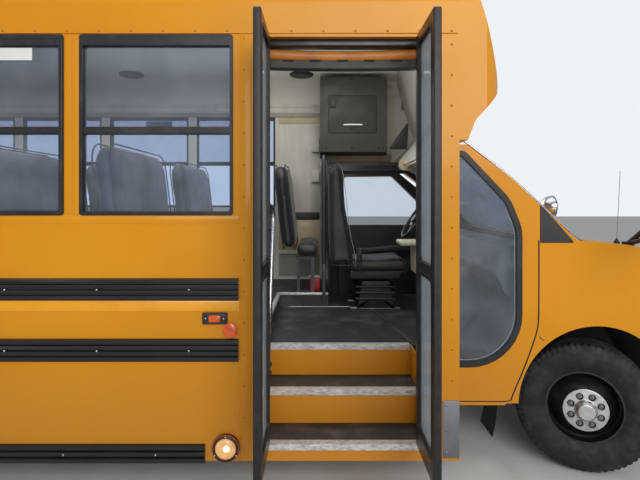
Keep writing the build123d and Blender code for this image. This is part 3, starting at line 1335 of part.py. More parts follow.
def make_seat_cushions():
    """One padded bench with its back per row and side, and a shallow one behind the driver."""
    pads = []
    for front in seat_rows():
        pads.append(bench_cushion(front, SEAT_DEPTH, SEAT_AISLE_Y))
        pads.append(bench_back(front - SEAT_DEPTH - FIT, SEAT_AISLE_Y))
    first = [bench_cushion(FIRST_SEAT_X, FIRST_SEAT_DEPTH, FIRST_AISLE_Y),
             bench_back(FIRST_SEAT_X - FIRST_SEAT_DEPTH - FIT, FIRST_AISLE_Y)]
    return group(both_sides(pads) + [flip(pad) for pad in first])


def bench_frame(front, depth, aisle_y):
    """Steel legs and rails under one bench on the right side."""
    under = SEAT_TOP_Z - CUSHION_T - FIT
    leg_y = (-aisle_y - LEG_IN - LEG_W, -aisle_y - LEG_IN)
    parts = []
    for x in (front - 60, front - depth + 20):
        across = (x - LEG_W / 2, x + LEG_W / 2)
        parts.append(block(across, (-INNER_HALF, leg_y[1]), (under - LEG_W, under)))
        parts.append(block(across, leg_y, (FLOOR_Z, under - 10)))
    along = (front - depth, front - 40)
    parts.append(block(along, (leg_y[0] - 20, leg_y[1] + 20), (FLOOR_Z, FLOOR_Z + 8)))
    parts.append(block(along, leg_y, (under - LEG_W, under)))
    return joined(parts)


def make_seat_frames():
    frames = [bench_frame(front, SEAT_DEPTH, SEAT_AISLE_Y) for front in seat_rows()]
    first = bench_frame(FIRST_SEAT_X, FIRST_SEAT_DEPTH, FIRST_AISLE_Y)
    return group(both_sides(frames) + [flip(first)])


DRIVER_Y = 450
DRIVER_HALF = 250
DRIVER_CUSHION = ((1190, 1710), (960, 1075))
DRIVER_BACK_X = 1045
DRIVER_BACK_TOP_Z = 1862


def make_driver_seat():
    """The driver's high-backed seat on its pedestal."""
    low_y, high_y = DRIVER_Y - DRIVER_HALF, DRIVER_Y + DRIVER_HALF
    x, z = DRIVER_CUSHION
    cushion = fillet(block(x, (low_y, high_y), z).edges().filter_by(Axis.Y), 40)
    rear, top = DRIVER_BACK_X, DRIVER_BACK_TOP_Z
    back_points = [(rear + 20, z[0] + 50), (rear + 205, z[0] + 50), (rear + 110, top - 50), (rear + 90, top),
                   (rear + 30, top), (rear, top - 50)]
    back = along_y(outline(back_points, [20, 20, 30, 20, 20, 30]), low_y + 10, high_y - 10)
    pedestal = block((x[0] + 70, x[1] - 90), (low_y + 60, high_y - 60), (LANDING_Z, z[0] + 10))
    return joined([cushion, back, pedestal])


PARTITION_X = (975, 1033)
PARTITION_Y = (400, 1150)
PARTITION_Z = (1000, 1960)


def make_partition():
    """The padded barrier behind the driver, one leg on the landing and one on the platform."""
    (low_y, high_y), (low_z, high_z) = PARTITION_Y, PARTITION_Z
    points = [(low_y, low_z), (high_y, low_z), (high_y, high_z), (low_y, high_z)]
    pad = along_x(outline(points, [20, 30, 60, 30]), *PARTITION_X)
    middle = sum(PARTITION_X) / 2
    near = rod((middle, PLATFORM_Y - 20, LANDING_Z), (middle, PLATFORM_Y - 20, low_z + 5), 16)
    far = rod((middle, high_y - 100, FLOOR_Z), (middle, high_y - 100, low_z + 5), 16)
    return joined([pad, near, far])


CABINET_X = (970, 1600)
CABINET_Y = 800
CABINET_Z = (2013, 2719)
CABINET_SLANT = (60, 28)


def make_cabinet():
    """The overhead cabinet above the driver's window, fitted to the wall and the roof's curve."""
    low, high = CABINET_Z
    back, drop = CABINET_SLANT
    points = [(CABINET_Y, low), (CABINET_Y + back, low - drop), (BODY_HALF, low - drop), (BODY_HALF, high),
              (CABINET_Y, high)]
    box = along_x(outline(points), *CABINET_X)
    return box & along_x(body_section(WALL + FIT, HEADER_Z), *CABINET_X)


GRAB_R = 16
GRAB_X = 672
GRAB_FOOT = (-1035, 560)
GRAB_TOP = (-650, 1510)
GRAB_END = (640, 1575)
GRAB_CLAMPS = (590, 632)


def make_grab_rail():
    """A bright rail rising beside the steps, clamped to the well's wall and returned to the door post."""
    end_x, end_z = GRAB_END
    rail = tube([(GRAB_X, *GRAB_FOOT), (GRAB_X, *GRAB_TOP), (end_x, -INNER_HALF - 10, end_z)], 70, GRAB_R)
    rail = rail - block((end_x - 50, end_x + 50), (-BODY_HALF, -INNER_HALF), (end_z - 50, end_z + 50))
    slope = (GRAB_TOP[0] - GRAB_FOOT[0]) / (GRAB_TOP[1] - GRAB_FOOT[1])
    clamps = []
    for z in GRAB_CLAMPS:
        y = GRAB_FOOT[0] + slope * (z - GRAB_FOOT[1])
        clamps.append(block((WELL_X[0] + WELL_WALL_T, GRAB_X), (y - 18, y + 18), (z - 9, z + 9)))
    return joined([rail] + clamps)


PIECES = {
    "chassis_frame": make_chassis_frame,
    "front_axle": make_front_axle,
    "knuckle_right": lambda: knuckle(-1),
    "knuckle_left": lambda: knuckle(1),
    "front_rim_right": lambda: placed_front(front_wheel_parts()[0], -1),
    "front_rim_left": lambda: placed_front(front_wheel_parts()[0], 1),
    "hub_cap_right": lambda: placed_front(front_wheel_parts()[1], -1),
    "hub_cap_left": lambda: placed_front(front_wheel_parts()[1], 1),
    "front_tyre_right": lambda: front_tyre(-1),
    "front_tyre_left": lambda: front_tyre(1),
    "rear_axle": make_rear_axle,
    "rear_rims_right": lambda: rear_rims(-1),
    "rear_rims_left": lambda: rear_rims(1),
    "rear_tyres_right": lambda: rear_tyres(-1),
    "rear_tyres_left": lambda: rear_tyres(1),
    "powertrain": make_powertrain,
    "fuel_tank": make_fuel_tank,
    "exhaust": make_exhaust,
    "side_right": make_side_right,
    "side_left": make_side_left,
    "entry_portal": make_entry_portal,
    "roof": make_roof,
    "rear_wall": make_rear_wall,
    "front_cap": make_front_cap,
    "floor": make_floor,
    "cab_floor": make_cab_floor,
    "stepwell": make_stepwell,
    "step_treads": make_step_treads,
    "step_nosings": make_step_nosings,
    "window_frames": make_window_frames,
    "window_glass": make_window_glass,
    "entry_leaf_rear": make_entry_leaf_rear,
    "entry_leaf_front": make_entry_leaf_front,
    "entry_glass_rear": make_entry_glass_rear,
    "entry_glass_front": make_entry_glass_front,
    "rear_door": make_rear_door,
    "rear_door_glass": make_rear_door_glass,
    "cab_side_right": make_cab_side_right,
    "cab_side_left": make_cab_side_left,
    "nose": make_nose,
    "hood": make_hood,
    "grille": make_grille,
    "headlamps": make_headlamps,
    "bumpers": lambda: group([make_front_bumper(), make_rear_bumper()]),
    "windscreen": make_windscreen,
    "driver_door": make_driver_door,
    "driver_door_glass": make_driver_door_glass,
    "dashboard": make_dashboard,
    "steering_wheel": make_steering_wheel,
    "rub_rails": make_rub_rails,
    "warning_lamps": make_warning_lamps,
    "marker_lamps": make_marker_lamps,
    "seat_cushions": make_seat_cushions,
    "seat_frames": make_seat_frames,
    "driver_seat": make_driver_seat,
    "partition": make_partition,
    "cabinet": make_cabinet,
    "grab_rail": make_grab_rail,
    "mirrors": lambda: group([mirror_head(-1), mirror_head(1), cross_mirror(-1), cross_mirror(1)]),
    "stop_arm": make_stop_arm,
}

os.makedirs("parts", exist_ok=True)
for name, make in PIECES.items():
    export_step(make(), f"parts/{name}.step")
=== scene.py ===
"""Looks of the short school bus: camera, light, floor, finishes and the trim that the frame doesn't carry."""

from math import radians

import bmesh
import bpy
import numpy as np
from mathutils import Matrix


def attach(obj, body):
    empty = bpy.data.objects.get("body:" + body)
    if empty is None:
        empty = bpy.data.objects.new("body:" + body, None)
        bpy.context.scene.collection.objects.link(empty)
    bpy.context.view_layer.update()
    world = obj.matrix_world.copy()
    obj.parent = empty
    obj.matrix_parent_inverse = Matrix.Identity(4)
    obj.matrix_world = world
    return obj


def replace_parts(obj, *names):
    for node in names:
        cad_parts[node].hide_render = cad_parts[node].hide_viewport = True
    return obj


# Camera, metres and degrees
CAMERA_AT = (0.97, -3.75, 1.57)
CAMERA_TILT = 90.0
CAMERA_SHIFT = -0.064
CAMERA_YAW = 0.0
LENS = 27.2
SENSOR = 36.0

# Sky: the light's colour and strength, and the colour seen past the bus
SKY_LIGHT = (0.93, 0.96, 1.0, 1)
SKY_POWER = 0.52
BACKDROP = (0.86, 0.89, 0.93, 1)
# Lamps: name, place, turn in degrees, size, power and colour
LAMPS = (
    ("front_light", (3.0, -9.5, 4.6), (66, 0, 17), (7, 5), 590, (1, 0.98, 0.95)),
    ("top_light", (0, 0, 8.0), (0, 0, 0), (9, 6), 120, (1, 1, 1)),
    ("rear_light", (-3, 8.5, 5.0), (-60, 0, 0), (8, 5), 380, (1, 1, 1)),
    ("cabin_light", (-0.9, 0, 2.70), (0, 0, 0), (4.2, 1.2), 25, (1, 0.98, 0.94)),
    ("cab_light", (1.25, -0.3, 2.62), (18, 0, 0), (0.7, 0.5), 7, (1, 0.98, 0.94)),
)
CEILING_WASH = ("ceiling_wash", (0.2, 0.1, 2.02), (180, 0, 0), (2.6, 0.9), 9, (1, 0.97, 0.9))

# Body, metres
BODY_Y = 1.22
BODY_REAR_X = -3.18
BELT_SEAM_Z = 1.44
HEADER_RIVET_Z = 2.45
RIVET_PITCH = 0.165
RIVET_R = 0.0065
RIVET_PROUD = 0.0030
SEAM_X = 0.546
RIVET_COLUMN_X = 0.572
STRIP_LOW_Z = 0.985
STRIP_HIGH_Z = 1.036
SKIRT_Z = 0.20

# Windows, metres
WINDOW_W = 0.801
WINDOW_PITCH = 0.885
WINDOW_COUNT = 4
WINDOW_FRONT_X = 0.514
WINDOW_LOW_Z = 1.486
WINDOW_HIGH_Z = 2.430
SASH_Z = 1.930
FRAME_W = 0.016
FRAME_TOP_W = 0.056
LEFT_FRONT_X = 1.09
LEFT_SHIFT = 0.48
# Each side's sign in Y with its name, and with how far its front pieces stand ahead of the right side's
SIDES = ((-1, "right"), (1, "left"))
SIDE_SHIFTS = ((-1, 0.0), (1, LEFT_SHIFT))
TO_RIGHT = (0, -1, 0)
TO_LEFT = (0, 1, 0)
UP = (0, 0, 1)
# How far a flat piece goes into what it lies on, and half the sash bar's height
SINK = 0.001
SASH_HALF = 0.017

# Rails and side lamps: middle height, front end and depth of each rail
RAIL_ROWS = ((1.098, 0.544, 0.018), (0.78, 0.544, 0.018), (0.24, 0.37, 0.018))
SCREW_PITCH = 0.48
MARKER_X = 0.422
LIT_X = 0.48
LIT_Z = 0.273
# Sections of radius and height: the lit lamp's ring, lens and bulb, and the reflector
LAMP_RING = ((0.0545, 0.0), (0.071, 0.0), (0.0725, 0.012), (0.068, 0.027), (0.059, 0.031), (0.0545, 0.025),
             (0.0545, 0.0))
LAMP_LENS = ((0.0, 0.036), (0.02, 0.0355), (0.038, 0.033), (0.05, 0.028), (0.0548, 0.022), (0.0548, 0.004),
             (0.0, 0.004))
LAMP_BULB = ((0, 0.0385), (0.008, 0.038), (0.014, 0.0370), (0.018, 0.0350), (0, 0.030))
REFLECTOR = ((0.0, 0.0195), (0.02, 0.019), (0.034, 0.0175), (0.0385, 0.014), (0.0385, 0.001), (0, 0.001))

# Wheels
FRONT_AXLE_X = 2.56
REAR_AXLE_X = -1.58
AXLE_Z = 0.372
FRONT_TRACK_HALF = 0.902
TWIN_YS = (0.78, 1.07)
KINGPIN_Y = 0.780
STEER_REST = 20
TYRE_COLUMNS = 384
TYRE_ROWS = 84
TYRE_LUGS = 64
TREAD_DEPTH = 0.009
TREAD_ZIGZAG = 0.0035
TREAD_GROOVE_W = 0.0085
TREAD_GROOVES = (-0.046, -0.0155, 0.0155, 0.046)
SIDEWALL_RINGS = (0.236, 0.247, 0.318, 0.328)
SIDEWALL_RING_H = 0.0016
SIDEWALL_RING_W = 0.0022
SHOULDER_OFF = 0.068
TREAD_FROM_R = 0.338
CROWN_FROM_R = 0.36
# Tyre section: radius and offset from the wheel's middle, bead to bead
TYRE_PROFILE = ((0.2035, -0.074), (0.2035, -0.083), (0.212, -0.0885), (0.226, -0.0975), (0.245, -0.106),
                (0.268, -0.1115), (0.290, -0.112), (0.312, -0.1105), (0.332, -0.1055), (0.348, -0.100),
                (0.3595, -0.0945), (0.3655, -0.086), (0.3685, -0.070), (0.3705, -0.046), (0.3715, -0.022),
                (0.3717, 0.0), (0.3715, 0.022), (0.3705, 0.046), (0.3685, 0.070), (0.3655, 0.086),
                (0.3595, 0.0945), (0.348, 0.100), (0.332, 0.1055), (0.312, 0.1105), (0.290, 0.112),
                (0.268, 0.1115), (0.245, 0.106), (0.226, 0.0975), (0.212, 0.0885), (0.2035, 0.083),
                (0.2035, 0.074), (0.2035, 0.0))

# Wheel nuts: the stud circle, the first one's angle, and how far out their seats are
NUT_CIRCLE_R = 0.08255
NUT_FIRST = 22.5
NUT_FRONT_OUT = 0.106
NUT_REAR_IN = 0.126
NUT_COUNT = 8
NUT_SECTION = ((0.0, 0.0), (0.0155, 0.0), (0.0155, 0.012), (0.013, 0.0145), (0.0085, 0.0145), (0.008, 0.022),
               (0.006, 0.024), (0.0, 0.024))

# Entry doors and steps
HINGE_REAR_X = 0.676
HINGE_FRONT_X = 1.504
HINGE_OUT = 0.002
LEAF_START = 0.003
LEAF_W = 0.408
LEAF_T = 0.032
LEAF_FRAME = 0.046
DOOR_LOW_Z = 0.300
DOOR_TOP_Z = 2.420
FLOOR_Z = 0.755
LANDING_Z = 0.650
NOSING_PITCH = 0.0085
# Each step's front edge Y, height, and X limits
STEP_EDGES = ((-1.22, 0.280, 0.663, 1.517), (-0.97, 0.467, 0.635, 1.535), (-0.72, 0.650, 0.635, 1.535))
# The nosing's section: Y, height, how much its ribs stand up there, and which way
NOSING_RIB = 0.0016
NOSING_SECTION = ((-0.003, -0.024, 0.6, -1, 0), (-0.0045, -0.006, 1, -1, 0), (-0.004, 0.003, 1, -0.8, 0.6),
                  (0.001, 0.0078, 1, -0.4, 0.9), (0.012, 0.0075, 1, 0, 1), (0.024, 0.0075, 1, 0, 1),
                  (0.036, 0.0075, 1, 0, 1), (0.048, 0.0068, 0.3, 0, 1), (0.049, 0.001, 0, 0, 0),
                  (0.0, 0.0, 0, 0, 0), (0.0, -0.024, 0, 0, 0))

# Cab
CAB_Y = 1.005
TALL_GLASS = ((1.725, 0.615), (2.118, 0.615), (2.118, 1.400), (2.050, 1.570), (1.790, 1.845), (1.725, 1.845))
TALL_GLASS_R = (0.020, 0.300, 0.250, 0.250, 0.050, 0.020)
GLASS_BAND = 0.034
SAIL_PANEL = ((2.219, 1.321), (2.417, 1.321), (2.219, 1.545))
ARCH_AT = (2.545, 0.400)
AERIAL_BASE = (2.70, -0.93, 1.318)
AERIAL_FOOT = ((0, 0.024), (0.004, 0.024), (0.007, 0.016), (0.013, 0.008), (0.016, 0.0), (0.016, -0.012),
               (0, -0.012))
PILLAR_LINE = ((1.775, 1.905), (1.80, 1.893), (2.07, 1.684), (2.435, 1.338), (2.50, 1.328))
# Gaps in the right skin, by width and line in (x, z): the door line, the sill line, the fender's joint
SEAM_LINES = (
    (0.0042, ((2.2125, 1.335), (2.2125, 1.05), (2.2115, 0.87), (2.198, 0.80), (2.130, 0.61), (2.064, 0.46),
              (2.053, 0.425))),
    (0.003, ((1.702, 0.422), (1.9, 0.421), (2.03, 0.420), (2.053, 0.428))),
    (0.002, ((2.2125, 0.790), (2.222, 0.782), (2.244, 0.766))),
)
# The inner fender's section: radius about the arch's line, and distance from the bus's middle
LINER_SECTION = ((0.452, 0.972), (0.462, 0.964), (0.470, 0.94), (0.470, 0.47), (0.455, 0.452), (0.25, 0.450))
# Mud flaps: X, outer and inner Y, top and foot Z
FLAP_X = 1.992
FLAP_YS = (-0.965, -0.76)
FLAP_ZS = (0.395, 0.20)

# Seats: rows from the front, each pad's limits, and how a pad is blown up
SEAT_ROWS = 5
SEAT_PITCH = 0.71
SEAT_FRONT_X = 0.33
SEAT_DEPTH = 0.40
SEAT_Z = (1.065, 1.185)
SEAT_YS = (0.19, 1.168)
BACK_Z = (1.125, 1.890)
BACK_T = 0.12
BACK_LEAN = 0.09
FIRST_SEAT_X = 0.965
FIRST_SEAT_DEPTH = 0.205
FIRST_YS = (0.44, 1.168)
PAD_SHRINK = 0.008
PAD_CAP = 0.014
PAD_PRESSURE = 4.0
PAD_FRAMES = 20
BENCH_VOXEL = 0.030
DRIVER_VOXEL = 0.014
PIPING_R = 0.0045
SEAM_IN = 0.013
DRIVER_YS = (0.20, 0.70)
DRIVER_CUSHION = ((1.20, 0.965), (1.690, 0.965), (1.712, 1.045), (1.66, 1.085), (1.40, 1.068), (1.20, 1.078))
DRIVER_BACK = ((1.060, 1.02), (1.248, 1.02), (1.222, 1.22), (1.176, 1.50), (1.150, 1.80), (1.128, 1.860),
               (1.075, 1.860), (1.046, 1.80), (1.048, 1.30))
DRIVER_CUSHION_R = (0.03, 0.03, 0.03, 0.04, 0.08, 0.03)
DRIVER_BACK_R = (0.03, 0.03, 0.20, 0.20, 0.05, 0.02, 0.02, 0.04, 0.20)
DRIVER_PAD_EDGE = 0.035
SHROUD = ((1.215, 0.90), (1.63, 0.90), (1.66, 0.985), (1.20, 0.985))
SHROUD_R = (0.03, 0.04, 0.02, 0.02)
PEDESTAL = ((1.27, 0.655), (1.60, 0.655), (1.56, 0.90), (1.31, 0.90))
PEDESTAL_R = (0.006, 0.006, 0.03, 0.03)
BELLOWS_ZS = (0.73, 0.78, 0.83)
BELT_W = 0.046
# The belt's path: X, distance in from the seat's edge, Z
BELT_PATH = ((1.110, 0.040, 1.868), (1.158, 0.040, 1.82), (1.186, 0.036, 1.58), (1.214, 0.030, 1.30),
             (1.256, 0.020, 1.12), (1.262, 0.008, 1.06))
# The partition's pad and frame: Y and Z limits, then corners; the frame's bar and its middle's X
PARTITION_PAD = (0.412, 1.138, 1.012, 1.948)
PARTITION_FRAME = (0.402, 1.148, 1.002, 1.958)
PARTITION_R = (0.03, 0.03, 0.05, 0.05)
PARTITION_BAR_R = 0.011
PARTITION_X = 1.004

# Cabinet, hatch and wall pieces
CABINET_Y = 0.800
HATCH = (1.055, 1.497, 2.192, 2.540)
INNER_Y = 1.180

# Rear end: the windows' Y and Z spans, the door panes' Z spans and half width, and the warning lamps' rims
REAR_WINDOW = (0.520, 1.010, 1.486, 2.150)
REAR_PANES = ((0.860, 1.330), (1.440, 2.200))
REAR_PANE_HALF = 0.300
LAMP_RIM = 0.096
LAMP_YS = (-0.900, -0.640, 0.640, 0.900)
REAR_LAMP_Z = 2.420

# Mirrors: the face's X, its Z span, inner and outer Y, and rim; the cross-view dome's X, Y, Z and radius
MIRROR_FACE = (2.700, (1.350, 1.800), 1.443, 1.633, 0.014)
CROSS_DOME = (3.210, 0.915, 1.493, 0.110)


def srgb(red, green, blue):
    """An 8-bit screen colour as the linear colour that a shader takes."""
    values = np.array([red, green, blue]) / 255
    linear = np.where(values <= 0.04045, values / 12.92, ((values + 0.055) / 1.055) ** 2.4)
    return (*linear.tolist(), 1.0)


# Finishes

FINISH = {}


class Finish:
    """A material with its principled shader, and short ways to add nodes to it."""

    def __init__(self, name, colour, roughness, metallic=0.0, coat=0.0, specular=0.5):
        self.material = bpy.data.materials.new(name)
        self.material.use_nodes = True
        self.tree = self.material.node_tree
        self.shader = self.tree.nodes["Principled BSDF"]
        self.shader.inputs["Base Color"].default_value = colour
        self.shader.inputs["Roughness"].default_value = roughness
        self.shader.inputs["Metallic"].default_value = metallic
        self.shader.inputs["Coat Weight"].default_value = coat
        self.shader.inputs["Coat Roughness"].default_value = 0.08
        self.shader.inputs["Specular IOR Level"].default_value = specular
        self.material.diffuse_color = colour
        FINISH[name] = self.material
        self.place = self.tree.nodes.new("ShaderNodeTexCoord").outputs["Object"]
        self.height = None

    def node(self, kind, settings=None, **inputs):
        """A new node; settings are its own properties, inputs its sockets, by name, as values or links."""
        node = self.tree.nodes.new(kind)
        for key, value in (settings or {}).items():
            setattr(node, key, value)
        for key, value in inputs.items():
            self.plug(node.inputs[key.replace("_", " ")], value)
        return node

    def plug(self, socket, value):
        """A value on a socket, or a link where the value is another node's output."""
        if isinstance(value, bpy.types.NodeSocket):
            self.tree.links.new(value, socket)
        else:
            socket.default_value = value

    def noise(self, scale, detail=3.0, stretch=(1, 1, 1), rough=0.5):
        """Soft noise on the object's own coordinates."""
        turned = self.node("ShaderNodeMapping", Vector=self.place, Scale=stretch)
        return self.node("ShaderNodeTexNoise", Vector=turned.outputs[0], Scale=scale, Detail=detail,
                         Roughness=rough).outputs["Fac"]

    def ramp(self, value, low, high, out_low=0.0, out_high=1.0):
        """A value from low..high carried to out_low..out_high, and held there outside."""
        node = self.node("ShaderNodeMapRange", Value=value)
        for key, number in (("From Min", low), ("From Max", high), ("To Min", out_low), ("To Max", out_high)):
            node.inputs[key].default_value = number
        return node.outputs[0]

    def maths(self, operation, a, b=0.0):
        """One step of arithmetic."""
        node = self.node("ShaderNodeMath", {"operation": operation})
        self.plug(node.inputs[0], a)
        self.plug(node.inputs[1], b)
        return node.outputs[0]

    def axis(self, name):
        """The object's X, Y or Z coordinate."""
        return self.node("ShaderNodeSeparateXYZ", Vector=self.place).outputs[name]

    def span(self, name, low, high):
        """1 where a coordinate lies between low and high, 0 elsewhere."""
        above = self.ramp(self.axis(name), low - 0.001, low)
        return self.maths("MULTIPLY", above, self.ramp(self.axis(name), high, high + 0.001, 1.0, 0.0))

    def blend(self, mask, first, second):
        """A colour between two, by a mask from 0 to 1."""
        mix = self.node("ShaderNodeMix", {"data_type": "RGBA"})
        for index, value in ((0, mask), (6, first), (7, second)):
            self.plug(mix.inputs[index], value)
        return mix.outputs[2]

    def shade(self, mask, colour):
        """Lays a second colour over what the base colour already is, by a mask from 0 to 1."""
        base = self.shader.inputs["Base Color"]
        first = base.links[0].from_socket if base.links else tuple(base.default_value)
        self.plug(base, self.blend(mask, first, colour))
        return self

    def mottle(self, colour, scale, low=0.45, high=0.7, detail=4.0, stretch=(1, 1, 1)):
        """Patches of a second colour, such as dust or wear, with soft edges."""
        return self.shade(self.ramp(self.noise(scale, detail, stretch), low, high), colour)

    def roughen(self, low, high, scale, detail=3.0):
        """Roughness that wanders between two values."""
        self.plug(self.shader.inputs["Roughness"], self.ramp(self.noise(scale, detail), 0.3, 0.7, low, high))
        return self

    def bump(self, height, distance, strength=1.0):
        """Relief from a height between 0 and 1, in metres, on top of what is there."""
        node = self.node("ShaderNodeBump", Height=height, Distance=distance, Strength=strength)
        if self.height is not None:
            self.plug(node.inputs["Normal"], self.height)
        self.height = node.outputs[0]
        self.plug(self.shader.inputs["Normal"], self.height)
        return self

    def grain(self, scale, distance, strength=0.4, detail=2.0, stretch=(1, 1, 1)):
        """Fine noise relief."""
        return self.bump(self.noise(scale, detail, stretch), distance, strength)

    def cells(self, scale, distance, strength=0.5):
        """Pebbled relief: rounded cells with narrow valleys, as on moulded vinyl."""
        cell = self.node("ShaderNodeTexVoronoi", {"feature": "DISTANCE_TO_EDGE"}, Vector=self.place,
                         Scale=scale)
        return self.bump(self.ramp(cell.outputs["Distance"], 0.0, 0.25), distance, strength)

    def ribs(self, axis, pitch, distance, strength=0.6):
        """Parallel ribs across an axis: a sine of the coordinate."""
        wave = self.maths("SINE", self.maths("MULTIPLY", self.axis(axis), 2 * np.pi / pitch))
        return self.bump(self.ramp(wave, -1.0, 1.0), distance, strength)

    def vector(self, operation, a, b):
        """One step of arithmetic on vectors."""
        node = self.node("ShaderNodeVectorMath", {"operation": operation})
        self.plug(node.inputs[0], a)
        self.plug(node.inputs[1], b)
        return node.outputs

    def inside(self, centre_z):
        """1 on faces that look towards the line y=0, z=centre_z, 0 on those that look away from it."""
        flat = self.vector("MULTIPLY", self.place, (0, 1, 1))[0]
        away = self.vector("SUBTRACT", flat, (0, 0, centre_z))[0]
        normal = self.node("ShaderNodeNewGeometry").outputs["Normal"]
        return self.ramp(self.vector("DOT_PRODUCT", away, normal)["Value"], -0.2, -0.4)


YELLOW = srgb(214, 144, 16)
YELLOW_DEEP = srgb(203, 131, 10)
# The yellow of the painted shade that darkens the body towards the bottom
YELLOW_SHADE_LOW = srgb(180, 114, 6)
DUST = srgb(168, 142, 104)
LINING = srgb(204, 202, 194)
CAB_TRIM = srgb(34, 35, 38)
# Lamps of another colour than their material's: the colour, then the spans along each axis
WARNING_COLOURS = ((srgb(214, 96, 8), ("Y", -0.77, 0.77)),)
REAR_COLOURS = ((srgb(160, 16, 18), ("X", -4.0, -3.17), ("Z", 1.14, 1.36)),
                (srgb(206, 208, 208), ("X", -4.0, -3.17), ("Z", 0.78, 0.92)))


def bus_paint(name, lining=None, rear_lined=False):
    """Semi-gloss bus yellow: slow colour drift, painted shade darkening it towards the bottom, a dusty skirt,
    slightly wavy panels, and a lining inside.

    Where the rear is lined, as in the cap, faces that look ahead and the brow's underside stay yellow.
    """
    finish = Finish(name, YELLOW, 0.34, coat=0.12, specular=0.25)
    finish.mottle(YELLOW_DEEP, 0.9, 0.35, 0.75)
    # Painted shade: the yellow darkens from 1 m down towards the skirt
    finish.shade(finish.ramp(finish.axis("Z"), 1.0, 0.25, 0.0, 0.75), YELLOW_SHADE_LOW)
    film = finish.maths("MULTIPLY", finish.ramp(finish.axis("Z"), 0.75, 0.2, 0.0, 0.2), finish.noise(14, 6))
    finish.shade(film, DUST)
    finish.roughen(0.28, 0.42, 2.5)
    finish.grain(1.6, 0.02, 0.25, 1.0)
    finish.grain(420, 0.0004, 0.12)
    if lining and not rear_lined:
        finish.shade(finish.inside(1.5), lining)
    if rear_lined:
        normal = finish.node("ShaderNodeNewGeometry").outputs["Normal"]
        ahead = finish.node("ShaderNodeSeparateXYZ", Vector=normal).outputs["X"]
        finish.shade(finish.maths("MULTIPLY", finish.inside(1.5), finish.ramp(ahead, 0.2, 0.05)), lining)
        finish.shade(finish.ramp(ahead, -0.1, -0.3), lining)
        down = finish.node("ShaderNodeSeparateXYZ", Vector=normal).outputs["Z"]
        low = finish.ramp(finish.axis("Z"), 2.35, 2.25)
        finish.shade(finish.maths("MULTIPLY", finish.ramp(down, -0.7, -0.85), low), YELLOW_DEEP)


def worn(name, colour, roughness, patches, rough=(), ribs=(), grain=(), **more):
    """A plain finish: patches of a second colour, then the roughness, ribs and grain that are given."""
    finish = Finish(name, srgb(*colour), roughness, **more)
    finish.mottle(srgb(*patches[0]), *patches[1:])
    if rough:
        finish.roughen(*rough)
    for row in ribs:
        finish.ribs(*row)
    if grain:
        finish.grain(*grain)
    return finish


def paint(name, colour, dust, roughness, coat=0.15):
    """Plain enamel with a little dust in soft patches and a fine orange-peel skin."""
    worn(name, colour, roughness, (dust, 7, 0.5, 0.85), (roughness - 0.08, roughness + 0.12, 5),
         grain=(380, 0.0004, 0.15), coat=coat)


def metal(name, colour, roughness, stretch, scale=90):
    """Bright metal with short drawn scratches along one axis."""
    finish = Finish(name, srgb(*colour), roughness, metallic=1.0)
    streak = finish.noise(scale, 4, stretch)
    finish.shade(finish.ramp(streak, 0.4, 0.75, 0.0, 0.5), srgb(150, 150, 152))
    dull = finish.ramp(streak, 0.3, 0.7, roughness - 0.06, roughness + 0.12)
    finish.plug(finish.shader.inputs["Roughness"], dull)
    finish.bump(streak, 0.0003, 0.25)


def vinyl(name, colour, light, scale):
    """Grained seat vinyl: pebbled skin, worn lighter in broad soft patches, with a faint sheen."""
    finish = worn(name, colour, 0.46, (light, 3.5, 0.4, 0.8, 5), (0.38, 0.58, 9))
    finish.grain(scale, 0.0003, 0.15, 2)
    finish.grain(9, 0.006, 0.2)
    finish.shader.inputs["Sheen Weight"].default_value = 0.15


def plastic(name, colour, light, rough, scale=420):
    """Moulded plastic with fine grain and slow colour drift."""
    finish = worn(name, colour, rough, (light, 4, 0.4, 0.8), (rough - 0.08, rough + 0.1, 12))
    finish.cells(scale, 0.0005, 0.35)


def glass(name, tint, upper=None):
    """Thin glazing: a tinted see-through layer, with a dusty glossy skin that gains at grazing angles.

    Above the windows' sash the tint goes over to the upper colour.
    """
    tint = srgb(*tint)
    finish = Finish(name, tint, 0.03, specular=0.6)
    tree = finish.tree
    see = tree.nodes.new("ShaderNodeBsdfTransparent")
    see.inputs["Color"].default_value = tint
    if upper:
        above = finish.ramp(finish.axis("Z"), SASH_Z - 0.002, SASH_Z + 0.002)
        finish.plug(see.inputs["Color"], finish.blend(above, tint, srgb(*upper)))
    finish.mottle(srgb(170, 172, 170), 9, 0.55, 0.95, 6)
    rim = finish.node("ShaderNodeFresnel", IOR=1.5).outputs[0]
    dust = finish.ramp(finish.noise(6, 6), 0.45, 0.9, 0.0, 0.05)
    share = finish.maths("ADD", finish.maths("ADD", rim, 0.01), dust)
    mix = finish.node("ShaderNodeMixShader", Fac=share)
    tree.links.new(see.outputs[0], mix.inputs[1])
    tree.links.new(finish.shader.outputs[0], mix.inputs[2])
    tree.links.new(mix.outputs[0], tree.nodes["Material Output"].inputs["Surface"])


def lens(name, colour, glow=0.0, others=()):
    """Moulded lamp lens: saturated plastic with fine flutes, and its own light where it is lit.

    Each row of others is a second colour, then the spans that it fills: an axis, a low and a high end.
    """
    colour = srgb(*colour)
    finish = Finish(name, colour, 0.12, coat=0.6)
    finish.mottle(tuple(c * 0.6 for c in colour[:3]) + (1.0,), 30, 0.45, 0.75)
    for other, *spans in others:
        filled = finish.span(*spans[0])
        for span in spans[1:]:
            filled = finish.maths("MULTIPLY", filled, finish.span(*span))
        finish.shade(filled, other)
    finish.ribs("Z", 0.006, 0.0008, 0.5)
    finish.shader.inputs["Emission Color"].default_value = colour
    finish.shader.inputs["Emission Strength"].default_value = glow


